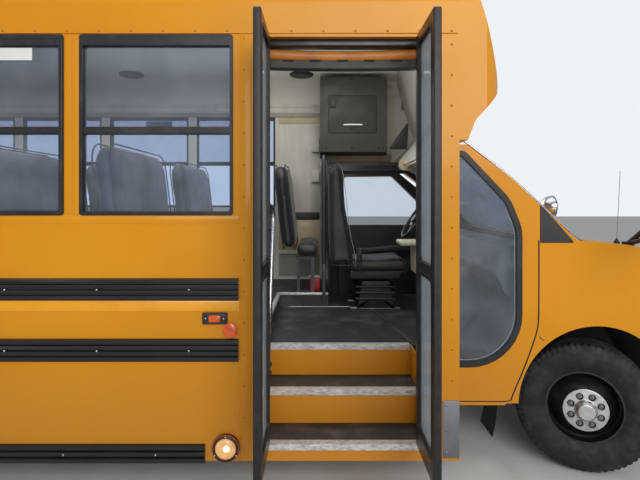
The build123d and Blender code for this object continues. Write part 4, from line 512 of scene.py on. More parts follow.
# Enamels: colour, dust, roughness, and coat where it isn't the usual one
PAINTS = {
    "rivet_paint": ((158, 98, 10), (120, 80, 30), 0.45),
    "black_paint": ((26, 27, 30), (60, 58, 56), 0.36),
    "wheel_paint": ((18, 18, 20), (58, 52, 46), 0.34, 0.3),
    "wall_tan": ((186, 170, 140), (168, 152, 124), 0.45),
    "wall_grey": ((150, 148, 140), (134, 132, 126), 0.45),
    "seat_steel": ((60, 62, 66), (92, 90, 86), 0.4),
    "stop_red": ((178, 26, 28), (140, 40, 36), 0.32),
    "roll_cover": ((176, 108, 36), (140, 84, 30), 0.5),
    "reflective_strip": ((232, 158, 4), (214, 140, 6), 0.26, 0.4),
}
# Metals: colour, roughness, and the scratches' stretch and scale
METALS = {
    "dull_steel": ((138, 138, 142), 0.4, (0.2, 1, 1)),
    "bright_steel": ((205, 207, 212), 0.24, (1, 1, 0.1)),
    "mirror_glass": ((226, 230, 234), 0.06, (1, 1, 1), 8),
    "plate_steel": ((128, 132, 138), 0.5, (1, 1, 0.3), 40),
}
# Plastics: colour, second colour, roughness, and the pebbles' scale
PLASTICS = {
    "black_plastic": ((26, 26, 28), (46, 46, 48), 0.46),
    "grey_plastic": ((96, 94, 90), (112, 110, 104), 0.5),
    "cabinet_grey": ((42, 39, 34), (52, 48, 42), 0.5, 600),
    "cream_plastic": ((206, 200, 176), (188, 180, 156), 0.45),
    "pad_piping": ((30, 32, 38), (44, 47, 55), 0.5, 900),
    "box_red": ((176, 26, 24), (150, 22, 24), 0.4),
    "white_plate": ((226, 226, 224), (210, 210, 206), 0.4, 700),
}
# Seat vinyls: colour, worn colour, and the grain's scale
VINYLS = {
    "seat_vinyl": ((44, 50, 62), (66, 75, 92), 186),
    "driver_vinyl": ((27, 28, 31), (44, 45, 50), 228),
}
# Glass: tint, and the tint above the sash
GLASSES = {
    "glazing": ((232, 238, 242),),
    "window_glazing": ((234, 240, 248), (212, 218, 230)),
}
# Lenses: colour, glow, and lamps of other colours
LENSES = {
    "clear_lens": ((214, 220, 224),),
    "bulb_glow": ((255, 232, 190), 1.3),
    "red_lens": ((150, 18, 20), 0.0, WARNING_COLOURS),
    "amber_lens": ((214, 84, 8), 0.08, REAR_COLOURS),
    "lit_lens": ((232, 178, 112), 0.30),
}
# Bus paint: lining, and whether faces that look back are lined too
BUS_PAINTS = {
    "bus_paint": (LINING,),
    "outer_paint": (),
    "cab_paint": (CAB_TRIM,),
    "cap_paint": (LINING, True),
}
# Small round pips in rows, from ribs both ways
PIPS = (("X", 0.008, 0.0008, 0.5), ("Y", 0.008, 0.0008, 0.5))
# Plain finishes: colour, roughness and patches, then what else each has
PLAIN = {
    "rail_paint": ((17, 18, 23), 0.32, ((62, 60, 58), 9, 0.58, 0.8, 4, (0.15, 1, 3)),
                   {"rough": (0.28, 0.5, 6), "grain": (300, 0.0004, 0.15), "coat": 0.1}),
    "chassis_paint": ((26, 27, 29), 0.55, ((74, 68, 60), 6, 0.48, 0.85, 6),
                      {"grain": (120, 0.0008, 0.35, 3)}),
    "cast_iron": ((84, 84, 86), 0.62, ((96, 62, 40), 11, 0.52, 0.8),
                  {"grain": (160, 0.0012, 0.6, 4), "metallic": 0.6}),
    "wheel_metal": ((206, 207, 210), 0.3, ((150, 146, 140), 24, 0.5, 0.85, 6),
                    {"rough": (0.24, 0.42, 30), "grain": (260, 0.0004, 0.2), "metallic": 0.9}),
    "tyre_rubber": ((28, 28, 30), 0.66, ((58, 55, 52), 16, 0.45, 0.85, 6),
                    {"rough": (0.55, 0.8, 20), "grain": (210, 0.0006, 0.35, 4), "specular": 0.35}),
    "floor_rubber": ((44, 45, 48), 0.52, ((88, 84, 80), 5, 0.5, 0.8, 6),
                     {"ribs": (("Y", 0.009, 0.0012, 0.7),), "grain": (320, 0.0003, 0.3)}),
    "belt_webbing": ((176, 176, 172), 0.7, ((132, 130, 124), 18, 0.45, 0.8),
                     {"ribs": (("Z", 0.004, 0.0006, 0.5), ("Y", 0.003, 0.0004, 0.4))}),
    "tread_rubber": ((40, 37, 36), 0.6, ((82, 76, 70), 8, 0.5, 0.8, 5), {"ribs": PIPS}),
    "mat_rubber": ((40, 37, 36), 0.6, ((82, 76, 70), 8, 0.5, 0.8, 5), {"ribs": PIPS}),
    "nosing_metal": ((222, 220, 218), 0.4, ((158, 154, 152), 30, 0.45, 0.75, 3, (1, 3, 3)),
                     {"grain": (240, 0.0003, 0.2), "metallic": 0.45}),
    "lining_panel": ((204, 202, 194), 0.4, ((170, 168, 160), 4, 0.45, 0.8, 4, (2, 2, 0.3)),
                     {"rough": (0.32, 0.5, 6), "grain": (380, 0.0003, 0.15), "coat": 0.1}),
    # Painted shade: near-black for the shade in gaps, slots and holes, with patches of random tone
    "dark_hollow": ((8, 8, 9), 0.8, ((24, 22, 20), 12), {"grain": (90, 0.0006, 0.3)}),
    "gasket_rubber": ((20, 20, 22), 0.5, ((46, 46, 48), 14, 0.5, 0.85), {"grain": (260, 0.0004, 0.3)}),
}
# Each finish, and the CAD nodes that wear it
WORN_BY = {
    "chassis_paint": "chassis_frame front_axle rear_axle fuel_tank",
    "cast_iron": "knuckle_right knuckle_left powertrain",
    "dull_steel": "exhaust",
    "wheel_paint": "front_rim_right front_rim_left rear_rims_right rear_rims_left",
    "wheel_metal": "hub_cap_right hub_cap_left",
    "tyre_rubber": "front_tyre_right front_tyre_left rear_tyres_right rear_tyres_left",
    "bus_paint": "side_right side_left roof rear_wall",
    "outer_paint": "entry_portal stepwell rear_door hood",
    "cap_paint": "front_cap",
    "floor_rubber": "floor cab_floor",
    "tread_rubber": "step_treads",
    "nosing_metal": "step_nosings",
    "black_paint": "window_frames entry_leaf_rear entry_leaf_front bumpers",
    "window_glazing": "window_glass",
    "glazing": "entry_glass_rear entry_glass_front rear_door_glass windscreen driver_door_glass",
    "cab_paint": "cab_side_right cab_side_left nose driver_door",
    "black_plastic": "grille steering_wheel mirrors",
    "clear_lens": "headlamps",
    "grey_plastic": "dashboard",
    "rail_paint": "rub_rails",
    "red_lens": "warning_lamps",
    "amber_lens": "marker_lamps",
    "seat_vinyl": "seat_cushions",
    "seat_steel": "seat_frames",
    "driver_vinyl": "driver_seat partition",
    "cabinet_grey": "cabinet",
    "bright_steel": "grab_rail",
    "stop_red": "stop_arm",
}


def finishes():
    """Makes every finish of the bus."""
    for make, table in ((bus_paint, BUS_PAINTS), (paint, PAINTS), (metal, METALS), (plastic, PLASTICS),
                        (vinyl, VINYLS), (glass, GLASSES), (lens, LENSES)):
        for name, row in table.items():
            make(name, *row)
    for name, (*row, more) in PLAIN.items():
        worn(name, *row, **more)


# Shapes: each is (points, quads), worked out as whole arrays

def patch(points, wrap_rows=False, wrap_columns=False):
    """A grid of points as a shape: each quad takes a point, the next in its row, and the two after them."""
    rows, columns = points.shape[:2]
    row, column = np.meshgrid(np.arange(rows - (not wrap_rows)), np.arange(columns - (not wrap_columns)),
                              indexing="ij")
    next_row, next_column = (row + 1) % rows, (column + 1) % columns
    quads = np.stack([row * columns + column, row * columns + next_column,
                      next_row * columns + next_column, next_row * columns + column], -1)
    return points.reshape(-1, 3), quads.reshape(-1, 4)


def joined(shapes):
    """Several shapes as one."""
    first = np.cumsum([0] + [len(points) for points, _ in shapes])
    return (np.concatenate([points for points, _ in shapes]),
            np.concatenate([quads + start for (_, quads), start in zip(shapes, first)]))


def moved(shape, offsets):
    """Copies of a shape, one at each offset: point plus offset, for all of them at once."""
    points, quads = shape
    offsets = np.asarray(offsets, float).reshape(-1, 3)
    steps = np.arange(len(offsets))[:, None, None] * len(points)
    return (points[None] + offsets[:, None]).reshape(-1, 3), (quads[None] + steps).reshape(-1, 4)


def unit(rows):
    """Vectors of length 1: each divided by its own length."""
    return rows / np.linalg.norm(rows, axis=-1, keepdims=True)


def turned(shape, axis, degrees, centre=(0, 0, 0)):
    """A shape turned about a line through centre, by Rodrigues' formula."""
    points, quads = shape
    axis = unit(np.asarray(axis, float))
    angle = np.radians(degrees)
    local = points - np.asarray(centre)
    along = (local @ axis)[:, None] * axis
    spun = local * np.cos(angle) + np.cross(axis, local) * np.sin(angle) + along * (1 - np.cos(angle))
    return spun + np.asarray(centre), quads


def mirrored(shape):
    """A shape on the bus's other side: y changes sign."""
    points, quads = shape
    return points * np.array([1, -1, 1]), quads[:, ::-1]


def on_side(shape, side):
    """A shape drawn on the right side: itself for side -1, its mirror image for side 1."""
    return shape if side < 0 else mirrored(shape)


def both(shape):
    """A shape drawn on the right side, on both sides."""
    return [shape, mirrored(shape)]


def capped(rings):
    """Rings of points as a shape, each end closed to the middle of its ring."""
    ends = [np.broadcast_to(end.mean(1, keepdims=True), end.shape) for end in (rings[:1], rings[-1:])]
    return patch(np.concatenate([ends[0], rings, ends[1]]), wrap_columns=True)


def swept(loop, path, across, up):
    """A closed 2-D loop carried along a path, ends closed: point = path + loop_x * across + loop_y * up."""
    loop, path = np.asarray(loop, float), np.asarray(path, float)
    across, up = np.broadcast_to(across, path.shape), np.broadcast_to(up, path.shape)
    return capped(path[:, None] + loop[None, :, :1] * across[:, None] + loop[None, :, 1:] * up[:, None])


def bead(line, outwards, across, radius, count=8):
    """A round bead along a closed line: point = line + radius * (cos * outwards + sin * across)."""
    ring = circle(radius, count)
    rows = line[:, None] + ring[None, :, :1] * unit(outwards)[:, None] + ring[None, :, 1:] * np.array(across)
    return patch(rows, wrap_rows=True, wrap_columns=True)


def circle(radius, count=16):
    """Points of a circle, radius * (cos, sin)."""
    angle = np.arange(count) * 2 * np.pi / count
    return radius * np.stack([np.cos(angle), np.sin(angle)], -1)


def tube(path, radius, up, count=12):
    """A round bar along a smooth path that lies in a plane; up is the plane's normal."""
    path = np.asarray(path, float)
    tangent = unit(np.gradient(path, axis=0))
    up = np.broadcast_to(np.asarray(up, float), path.shape)
    return swept(circle(radius, count), path, np.cross(tangent, up), up)


def smooth_path(points, count=40):
    """A path through points with rounded corners: a quadratic B-spline, all its segments at once."""
    points = np.asarray(points, float)
    middle = (points[:-1] + points[1:]) / 2
    t = np.linspace(0, 1, count)[:, None, None]
    curve = (1 - t) ** 2 * middle[:-1] + 2 * t * (1 - t) * points[1:-1] + t ** 2 * middle[1:]
    inner = curve.transpose(1, 0, 2).reshape(-1, points.shape[1])
    path = np.concatenate([points[:1], inner, points[-1:]])
    keep = np.concatenate([[True], np.linalg.norm(np.diff(path, axis=0), axis=1) > 1e-7])
    return path[keep]


def lathe(profile, centre, axis, count=32):
    """A profile of (radius, height) turned about an axis through centre: r * around + h * axis."""
    profile = np.asarray(profile, float)
    axis = unit(np.asarray(axis, float))
    side = unit(np.cross(axis, (0.3, 0.5, 0.81)))
    other = np.cross(axis, side)
    ring = circle(1.0, count) @ np.stack([side, other])
    points = np.asarray(centre) + profile[:, None, :1] * ring[None] + profile[:, None, 1:] * axis
    return patch(points, wrap_columns=True)


def rounded_box(low, high, radius, steps=3):
    """A box with rounded edges: corner spheres of that radius, pulled apart to the box's limits."""
    low, high = np.asarray(low, float), np.asarray(high, float)
    centre, half = (low + high) / 2, (high - low) / 2
    radius = min(radius, *(half * 0.98))
    quarter = np.linspace(0, np.pi / 2, steps + 1)
    turn = (quarter[None] + np.arange(4)[:, None] * np.pi / 2).ravel()
    sign_x = np.repeat([1, -1, -1, 1], steps + 1)
    sign_y = np.repeat([1, 1, -1, -1], steps + 1)
    lift = np.concatenate([quarter - np.pi / 2, quarter])
    sign_z = np.repeat([-1, 1], steps + 1)
    ball = np.stack([np.cos(lift)[:, None] * np.cos(turn), np.cos(lift)[:, None] * np.sin(turn),
                     np.broadcast_to(np.sin(lift)[:, None], (len(lift), len(turn)))], -1)
    signs = np.stack([np.broadcast_to(sign_x, ball.shape[:2]), np.broadcast_to(sign_y, ball.shape[:2]),
                      np.broadcast_to(sign_z[:, None], ball.shape[:2])], -1)
    return capped(centre + signs * (half - radius) + radius * ball)


def dome(radius, proud, axis):
    """A low round head, such as a rivet's: r = radius * sin(t), h = proud * cos(t), closed behind."""
    t = np.linspace(0, np.pi / 2, 4)
    profile = np.concatenate([np.stack([radius * np.sin(t), proud * np.cos(t)], -1), [[0, -proud * 0.2]]])
    return lathe(profile, (0, 0, 0), axis, 8)


def made(name, shapes, finish, body="bus", smooth=35.0, bevel=0.0, wall=0.0):
    """One finished piece: its shapes joined, doubles merged, faces turned outwards, riding on a body."""
    points, quads = joined(shapes if isinstance(shapes, list) else [shapes])
    mesh = bpy.data.meshes.new(name)
    mesh.from_pydata(points.tolist(), [], quads.tolist())
    work = bmesh.new()
    work.from_mesh(mesh)
    bmesh.ops.remove_doubles(work, verts=work.verts, dist=1e-5)
    bmesh.ops.dissolve_degenerate(work, edges=work.edges, dist=1e-6)
    bmesh.ops.recalc_face_normals(work, faces=work.faces)
    for face in work.faces:
        face.smooth = True
    work.to_mesh(mesh)
    work.free()
    mesh.set_sharp_from_angle(angle=radians(smooth))
    piece = bpy.data.objects.new(name, mesh)
    bpy.context.scene.collection.objects.link(piece)
    piece.data.materials.append(FINISH[finish])
    if wall:
        solid = piece.modifiers.new("wall", "SOLIDIFY")
        solid.thickness = wall
        solid.offset = 0.0
    if bevel:
        edge = piece.modifiers.new("edge", "BEVEL")
        edge.width = bevel
        edge.segments = 2
        edge.limit_method = "ANGLE"
    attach(piece, body)
    return piece


# Stage

def place_camera():
    """The photo's viewing place: outside the entry door and level with its middle, framed a little low."""
    data = bpy.data.cameras.new("camera")
    data.lens = LENS
    data.sensor_width = SENSOR
    data.shift_y = CAMERA_SHIFT
    camera = bpy.data.objects.new("camera", data)
    camera.location = CAMERA_AT
    camera.rotation_euler = (radians(CAMERA_TILT), 0, radians(CAMERA_YAW))
    bpy.context.scene.collection.objects.link(camera)
    bpy.context.scene.camera = camera


def background_shader(tree, nodes_from, colour):
    """A plain strength-1 background that camera and transmission rays see as colour."""
    nodes, links = tree.nodes, tree.links
    path = nodes.new("ShaderNodeLightPath")
    seen = nodes.new("ShaderNodeMath")
    seen.operation = "ADD"
    links.new(path.outputs["Is Camera Ray"], seen.inputs[0])
    links.new(path.outputs["Is Transmission Ray"], seen.inputs[1])
    mix = nodes.new("ShaderNodeMixShader")
    pale = nodes.new("ShaderNodeBackground")
    pale.inputs["Color"].default_value = colour
    pale.inputs["Strength"].default_value = 1.0
    links.new(seen.outputs[0], mix.inputs[0])
    links.new(nodes_from.outputs[0], mix.inputs[1])
    links.new(pale.outputs[0], mix.inputs[2])
    links.new(mix.outputs[0], nodes["World Output"].inputs["Surface"])


def place_world():
    """Soft even sky light, and a pale backdrop where the camera looks past the bus."""
    world = bpy.data.worlds.new("studio")
    bpy.context.scene.world = world
    world.use_nodes = True
    light = world.node_tree.nodes["Background"]
    light.inputs["Color"].default_value = SKY_LIGHT
    light.inputs["Strength"].default_value = SKY_POWER
    background_shader(world.node_tree, light, BACKDROP)


def place_lamp(name, place, turn, size, power, colour):
    """A square soft lamp."""
    data = bpy.data.lights.new(name, "AREA")
    data.energy = power
    data.shape = "RECTANGLE"
    data.size, data.size_y = size
    data.color = colour
    lamp = bpy.data.objects.new(name, data)
    lamp.location = place
    lamp.rotation_euler = [radians(a) for a in turn]
    bpy.context.scene.collection.objects.link(lamp)
    return lamp


def place_lights():
    """Soft lamps outside and inside, and one under the ceiling that is itself unseen."""
    for row in LAMPS:
        place_lamp(*row)
    wash = place_lamp(*CEILING_WASH)
    wash.visible_camera = False
    wash.visible_glossy = False


def place_floor():
    """A plain pale floor, large enough for every view."""
    finish = Finish("floor_finish", srgb(206, 206, 204), 0.85)
    finish.mottle(srgb(198, 198, 196), 3.0, 0.4, 0.7)
    finish.grain(60, 0.002, 0.1)
    size = 40.0
    side = np.linspace(-size, size, 2)
    grid = np.stack(np.meshgrid(side, side, [0.0], indexing="ij"), -1).reshape(2, 2, 3)
    points, quads = patch(grid)
    mesh = bpy.data.meshes.new("ground")
    mesh.from_pydata(points.tolist(), [], quads[:, ::-1].tolist())
    floor = bpy.data.objects.new("ground", mesh)
    floor.data.materials.append(finish.material)
    bpy.context.scene.collection.objects.link(floor)


# Body trim

def side_rows(y, rows):
    """Rivet places on a wall at y: rows of (first x, last x, first z, last z), one rivet per pitch."""
    places = []
    for x0, x1, z0, z1 in rows:
        count = max(int(round(np.hypot(x1 - x0, z1 - z0) / RIVET_PITCH)), 1) + 1
        line = np.linspace(0, 1, count)[:, None]
        run = [x0 + (x1 - x0) * line, np.full_like(line, y), z0 + (z1 - z0) * line]
        places.append(np.concatenate(run, 1))
    return np.concatenate(places)


def body_rivets():
    """Small round rivets along the header and down the panel joints of both sides."""
    rear_x = BODY_REAR_X + 0.15
    left_x = LEFT_FRONT_X - 0.02
    header = (BODY_REAR_X + 0.14, 1.66, HEADER_RIVET_Z, HEADER_RIVET_Z)
    rear = (rear_x, rear_x, 0.26, 2.41)
    right = [header, (RIVET_COLUMN_X, RIVET_COLUMN_X, 0.26, 2.41), rear, (1.66, 1.66, 0.30, 2.38)]
    left = [header, (left_x, left_x, 0.26, 1.80), rear]
    head = dome(RIVET_R, RIVET_PROUD, TO_RIGHT)
    shapes = [on_side(moved(head, side_rows(-BODY_Y, rows)), side) for side, rows in ((-1, right), (1, left))]
    made("body_rivets", shapes, "rivet_paint")


def flat_strip(x0, x1, z0, z1, proud):
    """A thin flat strip on the right wall, with softened edges."""
    edge = min(proud + SINK, 0.002) * 0.49
    return rounded_box((x0, -BODY_Y - proud, z0), (x1, -BODY_Y + SINK, z1), edge, 2)


def window_spans():
    """The X limits of the side windows that both sides have, front to rear."""
    front = WINDOW_FRONT_X - np.arange(WINDOW_COUNT) * WINDOW_PITCH
    return np.stack([front - WINDOW_W, front], -1)


def panel_trim():
    """Raised joint strips: the belt strip under the windows, posts between them, entry post and header."""
    rear = BODY_REAR_X + 0.13
    belt = (BELT_SEAM_Z, WINDOW_LOW_Z - 0.004, 0.0016)
    header = (rear, 1.69, 2.436, 2.442, 0.006)
    right = [(rear, SEAM_X, *belt), (SEAM_X + 0.002, 0.609, SKIRT_Z + 0.002, 2.44, 0.0016), header]
    spans = window_spans()
    for rear_x, front_x in zip(spans[:-1, 0], spans[1:, 1]):
        middle = (rear_x + front_x) / 2
        right.append((front_x + 0.003, middle - 0.004, BELT_SEAM_Z + 0.05, 2.432, 0.0016))
        right.append((middle + 0.001, rear_x - 0.003, BELT_SEAM_Z + 0.05, 2.432, 0.0022))
    left = [(rear, LEFT_FRONT_X - 0.05, *belt), header]
    shapes = [on_side(flat_strip(*row), side) for side, rows in ((-1, right), (1, left)) for row in rows]
    made("panel_trim", shapes, "outer_paint")


def reflective_strips():
    """The brighter reflective band under the upper rail of each side."""
    rear = BODY_REAR_X + 0.13
    shapes = [on_side(flat_strip(rear, front, STRIP_LOW_Z, STRIP_HIGH_Z, 0.0006), side)
              for side, front in ((-1, SEAM_X), (1, LEFT_FRONT_X - 0.03))]
    made("reflective_strips", shapes, "reflective_strip")


def rail_screws():
    """Bright screw heads along the middle rib of each side rail, apart from the rear arch."""
    screws = []
    for z, front, proud in RAIL_ROWS:
        for side, shift in SIDE_SHIFTS:
            x = np.arange(front + shift - 0.255, BODY_REAR_X + 0.2, -SCREW_PITCH)
            x = x[(abs(x - REAR_AXLE_X) > 0.48) | (z > 0.86)]
            places = np.stack([x, np.full_like(x, -BODY_Y - proud), np.full_like(x, z)], -1)
            screws.append(on_side(moved(dome(0.006, 0.004, TO_RIGHT), places), side))
    made("rail_screws", screws, "bright_steel")


def rounded_ring(x0, x1, z0, z1, corner, width, y0, y1, count=8):
    """A flat frame with round corners: its outer and inner outlines at y0 and at y1, joined by four faces."""
    angle = np.linspace(0, np.pi / 2, count)
    turn = (angle[None] + np.arange(4)[:, None] * np.pi / 2).ravel()
    sign_x = np.repeat([1, -1, -1, 1], count)
    sign_z = np.repeat([1, 1, -1, -1], count)
    middle_x, middle_z = (x0 + x1) / 2, (z0 + z1) / 2
    half_x, half_z = (x1 - x0) / 2 - corner, (z1 - z0) / 2 - corner

    def line(inset, y):
        radius = max(corner - inset, 0.002)
        give = corner - inset - radius
        return np.stack([middle_x + sign_x * (half_x + give) + radius * np.cos(turn), np.full_like(turn, y),
                         middle_z + sign_z * (half_z + give) + radius * np.sin(turn)], -1)

    rows = np.stack([line(0, y0), line(width, y0), line(width, y1), line(0, y1)])
    return patch(rows, wrap_rows=True, wrap_columns=True)


def window_gaskets():
    """Black glazing beads round each pane, and a thin outer lip where the frame meets the wall."""
    panes = ((WINDOW_LOW_Z + FRAME_W, SASH_Z - SASH_HALF), (SASH_Z + SASH_HALF, WINDOW_HIGH_Z - FRAME_TOP_W))
    lip = 0.001
    rings = []
    for low, high in window_spans():
        rings += [rounded_ring(low + FRAME_W, high - FRAME_W, z0, z1, 0.014, 0.003,
                               -BODY_Y + 0.010, -BODY_Y + 0.0345) for z0, z1 in panes]
        rings.append(rounded_ring(low - lip, high + lip, WINDOW_LOW_Z - lip, WINDOW_HIGH_Z + lip,
                                  0.016, 0.006, -BODY_Y - 0.0070, -BODY_Y + SINK))
    made("window_gaskets", rings + [mirrored(ring) for ring in rings], "gasket_rubber")


def exit_window_frame():
    """The second window's thicker push-out frame and the blank white plate inside its upper corner."""
    low, high = window_spans()[1]
    inset = 0.004
    ring = rounded_ring(low + inset, high - inset, WINDOW_LOW_Z + inset, WINDOW_HIGH_Z - inset,
                        0.020, 0.020, -BODY_Y - 0.0095, -BODY_Y + 0.004)
    blank = rounded_box((high - 0.44, -BODY_Y + 0.0125, 2.300), (high - 0.174, -BODY_Y + 0.0165, 2.366),
                        0.0015)
    made("exit_window_frames", both(ring), "black_paint", bevel=0.002)
    made("exit_window_plates", both(blank), "white_plate")


def side_markers():
    """The amber side marker in its black bezel, the round reflector and the lit lamp with its black ring."""
    bezels, rims, lenses, lit, bulbs, screws = [], [], [], [], [], []
    turn = np.radians([90, 210, 330])
    circle_r = 0.0635
    head = dome(0.005, 0.003, TO_RIGHT)
    for side, shift in SIDE_SHIFTS:
        x, lamp_x = MARKER_X + shift, LIT_X + shift
        lamp = (lamp_x, -BODY_Y, LIT_Z)
        bezel = rounded_box((x - 0.065, -BODY_Y - 0.018, 0.918), (x + 0.065, -BODY_Y + 0.002, 0.978), 0.006)
        marker = rounded_box((x - 0.031, -BODY_Y - 0.027, 0.930), (x + 0.031, -BODY_Y - 0.012, 0.966), 0.006)
        reflector = lathe(REFLECTOR, (0.502 + shift, -BODY_Y, 0.885), TO_RIGHT, 40)
        heads = np.stack([lamp_x + circle_r * np.cos(turn), np.full(3, -BODY_Y - 0.029),
                          LIT_Z + circle_r * np.sin(turn)], -1)
        ends = [(x - 0.047, -BODY_Y - 0.018, 0.948), (x + 0.047, -BODY_Y - 0.018, 0.948)]
        for shapes, found in ((bezels, [bezel]), (rims, [lathe(LAMP_RING, lamp, TO_RIGHT, 48)]),
                              (lenses, [marker, reflector]), (lit, [lathe(LAMP_LENS, lamp, TO_RIGHT, 48)]),
                              (screws, [moved(head, heads), moved(head, ends)])):
            shapes += [on_side(shape, side) for shape in found]
        bulbs.append(lathe(LAMP_BULB, (lamp_x + 0.006, side * BODY_Y, LIT_Z + 0.006), (0, side, 0), 24))
    made("marker_bezels", bezels + rims, "black_plastic")
    made("marker_lenses", lenses, "amber_lens")
    made("side_lamp_lenses", lit, "lit_lens", smooth=60)
    made("side_lamp_bulbs", bulbs, "bulb_glow", smooth=70)
    made("lamp_screws", screws, "bright_steel")


def splash_plates():
    """The grey steel plate at the body's lower front corner, with its bolts."""
    steel = rounded_box((1.612, -BODY_Y - 0.004, 0.215), (1.699, -BODY_Y + SINK, 0.515), 0.0018)
    made("splash_plate", steel, "plate_steel")
    bolts = moved(dome(0.008, 0.005, TO_RIGHT), [(1.63, -BODY_Y - 0.004, z) for z in (0.245, 0.365, 0.49)])
    made("splash_plate_bolts", bolts, "dull_steel")


# Wheels

def tyre_shape(centre_y):
    """A tyre of revolution about the axle line through y = centre_y.

    The profile gives radius and offset. In the tread the radius drops by the depth of zigzag grooves that
    follow offset = g + a * triangle(n * angle) and of cross cuts at the shoulders. Rings stand on the
    sidewall.
    """
    t = np.linspace(-1, 1, TYRE_ROWS)
    knots = np.linspace(-1, 1, len(TYRE_PROFILE))
    radius, offset = [np.interp(t, knots, column)[:, None] for column in zip(*TYRE_PROFILE)]
    radius = np.broadcast_to(radius, (TYRE_ROWS, TYRE_COLUMNS))
    angle = np.arange(TYRE_COLUMNS) * 2 * np.pi / TYRE_COLUMNS
    phase = (angle * TYRE_LUGS / (2 * np.pi)) % 1
    zigzag = TREAD_ZIGZAG * (abs(phase - 0.5) * 4 - 1)
    cut = np.zeros_like(radius)
    for groove in TREAD_GROOVES:
        cut = np.maximum(cut, np.clip(1.6 - abs(offset - groove - zigzag[None]) / (TREAD_GROOVE_W / 2), 0, 1))
    tread = radius > TREAD_FROM_R
    lug = np.clip(1.5 - abs(phase - 0.5) / 0.16, 0, 1)[None] * ((abs(offset) > SHOULDER_OFF) & tread)
    crown = (abs(offset) < SHOULDER_OFF) & (radius > CROWN_FROM_R)
    fine = np.clip(1.2 - abs((phase * 2) % 1 - 0.5) / 0.09, 0, 1)[None] * crown
    full = radius - TREAD_DEPTH * np.maximum(np.maximum(cut * tread, lug * 0.8), fine * 0.35)
    rings = sum(np.exp(-((radius - at) / SIDEWALL_RING_W) ** 2) for at in SIDEWALL_RINGS)
    wide = offset + np.sign(offset) * SIDEWALL_RING_H * rings
    return patch(np.stack([full * np.cos(angle), centre_y + np.broadcast_to(wide, full.shape),
                           AXLE_Z + full * np.sin(angle)], -1), wrap_rows=True, wrap_columns=True)


def placed_front(shape, side):
    """A straight-ahead front wheel piece, moved to the axle and turned with the wheel's rest lock."""
    return turned(moved(shape, (FRONT_AXLE_X, 0, 0)), UP, -STEER_REST, (FRONT_AXLE_X, side * KINGPIN_Y, 0))


def placed_rear(shape):
    """A rear wheel piece, moved to the rear axle."""
    return moved(shape, (REAR_AXLE_X, 0, 0))


def tyres():
    """Treaded tyres in place of the plain ones."""
    for side, word in SIDES:
        front = placed_front(tyre_shape(side * FRONT_TRACK_HALF), side)
        rear = [placed_rear(tyre_shape(side * y)) for y in TWIN_YS]
        for name, shapes, body, node in (
                (f"tread_front_{word}", front, f"front_wheel_{word}", f"front_tyre_{word}"),
                (f"treads_rear_{word}", rear, f"rear_wheels_{word}", f"rear_tyres_{word}")):
            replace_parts(made(name, shapes, "tyre_rubber", body, smooth=50), node)


# Steps and entry doors

def nosing(front_y, z, x0, x1):
    """A step nosing: its section (y, z) swept along X, cross ribs raised by a rounded square wave of X."""
    section = np.array(NOSING_SECTION)
    x = np.linspace(x0, x1, int((x1 - x0) / NOSING_PITCH) * 4 + 1)
    wave = np.clip(2.2 * np.sin((x - x0) * 2 * np.pi / NOSING_PITCH), -1, 1)
    lift = (section[None, :, 2] * NOSING_RIB * wave[:, None])[..., None]
    rings = np.zeros((len(x), len(section), 3))
    rings[..., 0] = x[:, None]
    rings[..., 1:] = section[None, :, :2] + section[None, :, 3:] * lift + (front_y, z)
    return capped(rings)


def step_nosings():
    """Cross-ribbed aluminium nosings on the three step edges."""
    shapes = [nosing(*row) for row in STEP_EDGES]
    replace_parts(made("ribbed_nosings", shapes, "nosing_metal", smooth=25), "step_nosings")


def step_trim():
    """Pale edge strips round the landing and the passenger floor's front edge, and bolts on the risers."""
    z = LANDING_Z + 0.001
    path = [(0.70, 0.382, z), (1.038, 0.382, z), (1.384, 0.382, z), (1.556, -0.65, z)]
    loop = [(-0.009, 0), (-0.008, 0.004), (0.008, 0.004), (0.009, 0)]
    runs = []
    for run in zip(path[:-1], path[1:]):
        ahead = unit(np.subtract(run[1], run[0]))
        runs.append(swept(loop, run, np.cross(ahead, UP), UP))
    made("landing_edge", runs, "dull_steel")
    edge = rounded_box((0.598, -BODY_Y + 0.51, FLOOR_Z - 0.022), (0.628, 0.462, FLOOR_Z + 0.004), 0.003)
    made("floor_edge", edge, "nosing_metal")
    bolt = dome(0.007, 0.005, (-1, 0, 0))
    bolts = [moved(bolt, [(x1 + 0.011, front + 0.10, z - down) for down in (0.05, 0.12)])
             for front, z, x0, x1 in STEP_EDGES[1:]]
    made("riser_bolts", bolts, "dull_steel")


def on_leaf(shape, direction):
    """A piece of a shut entry leaf, turned about its hinge to where the leaf stands open."""
    hinge_x = HINGE_REAR_X if direction > 0 else HINGE_FRONT_X
    return turned(shape, UP, -90 * direction, (hinge_x, -BODY_Y - HINGE_OUT, 0))


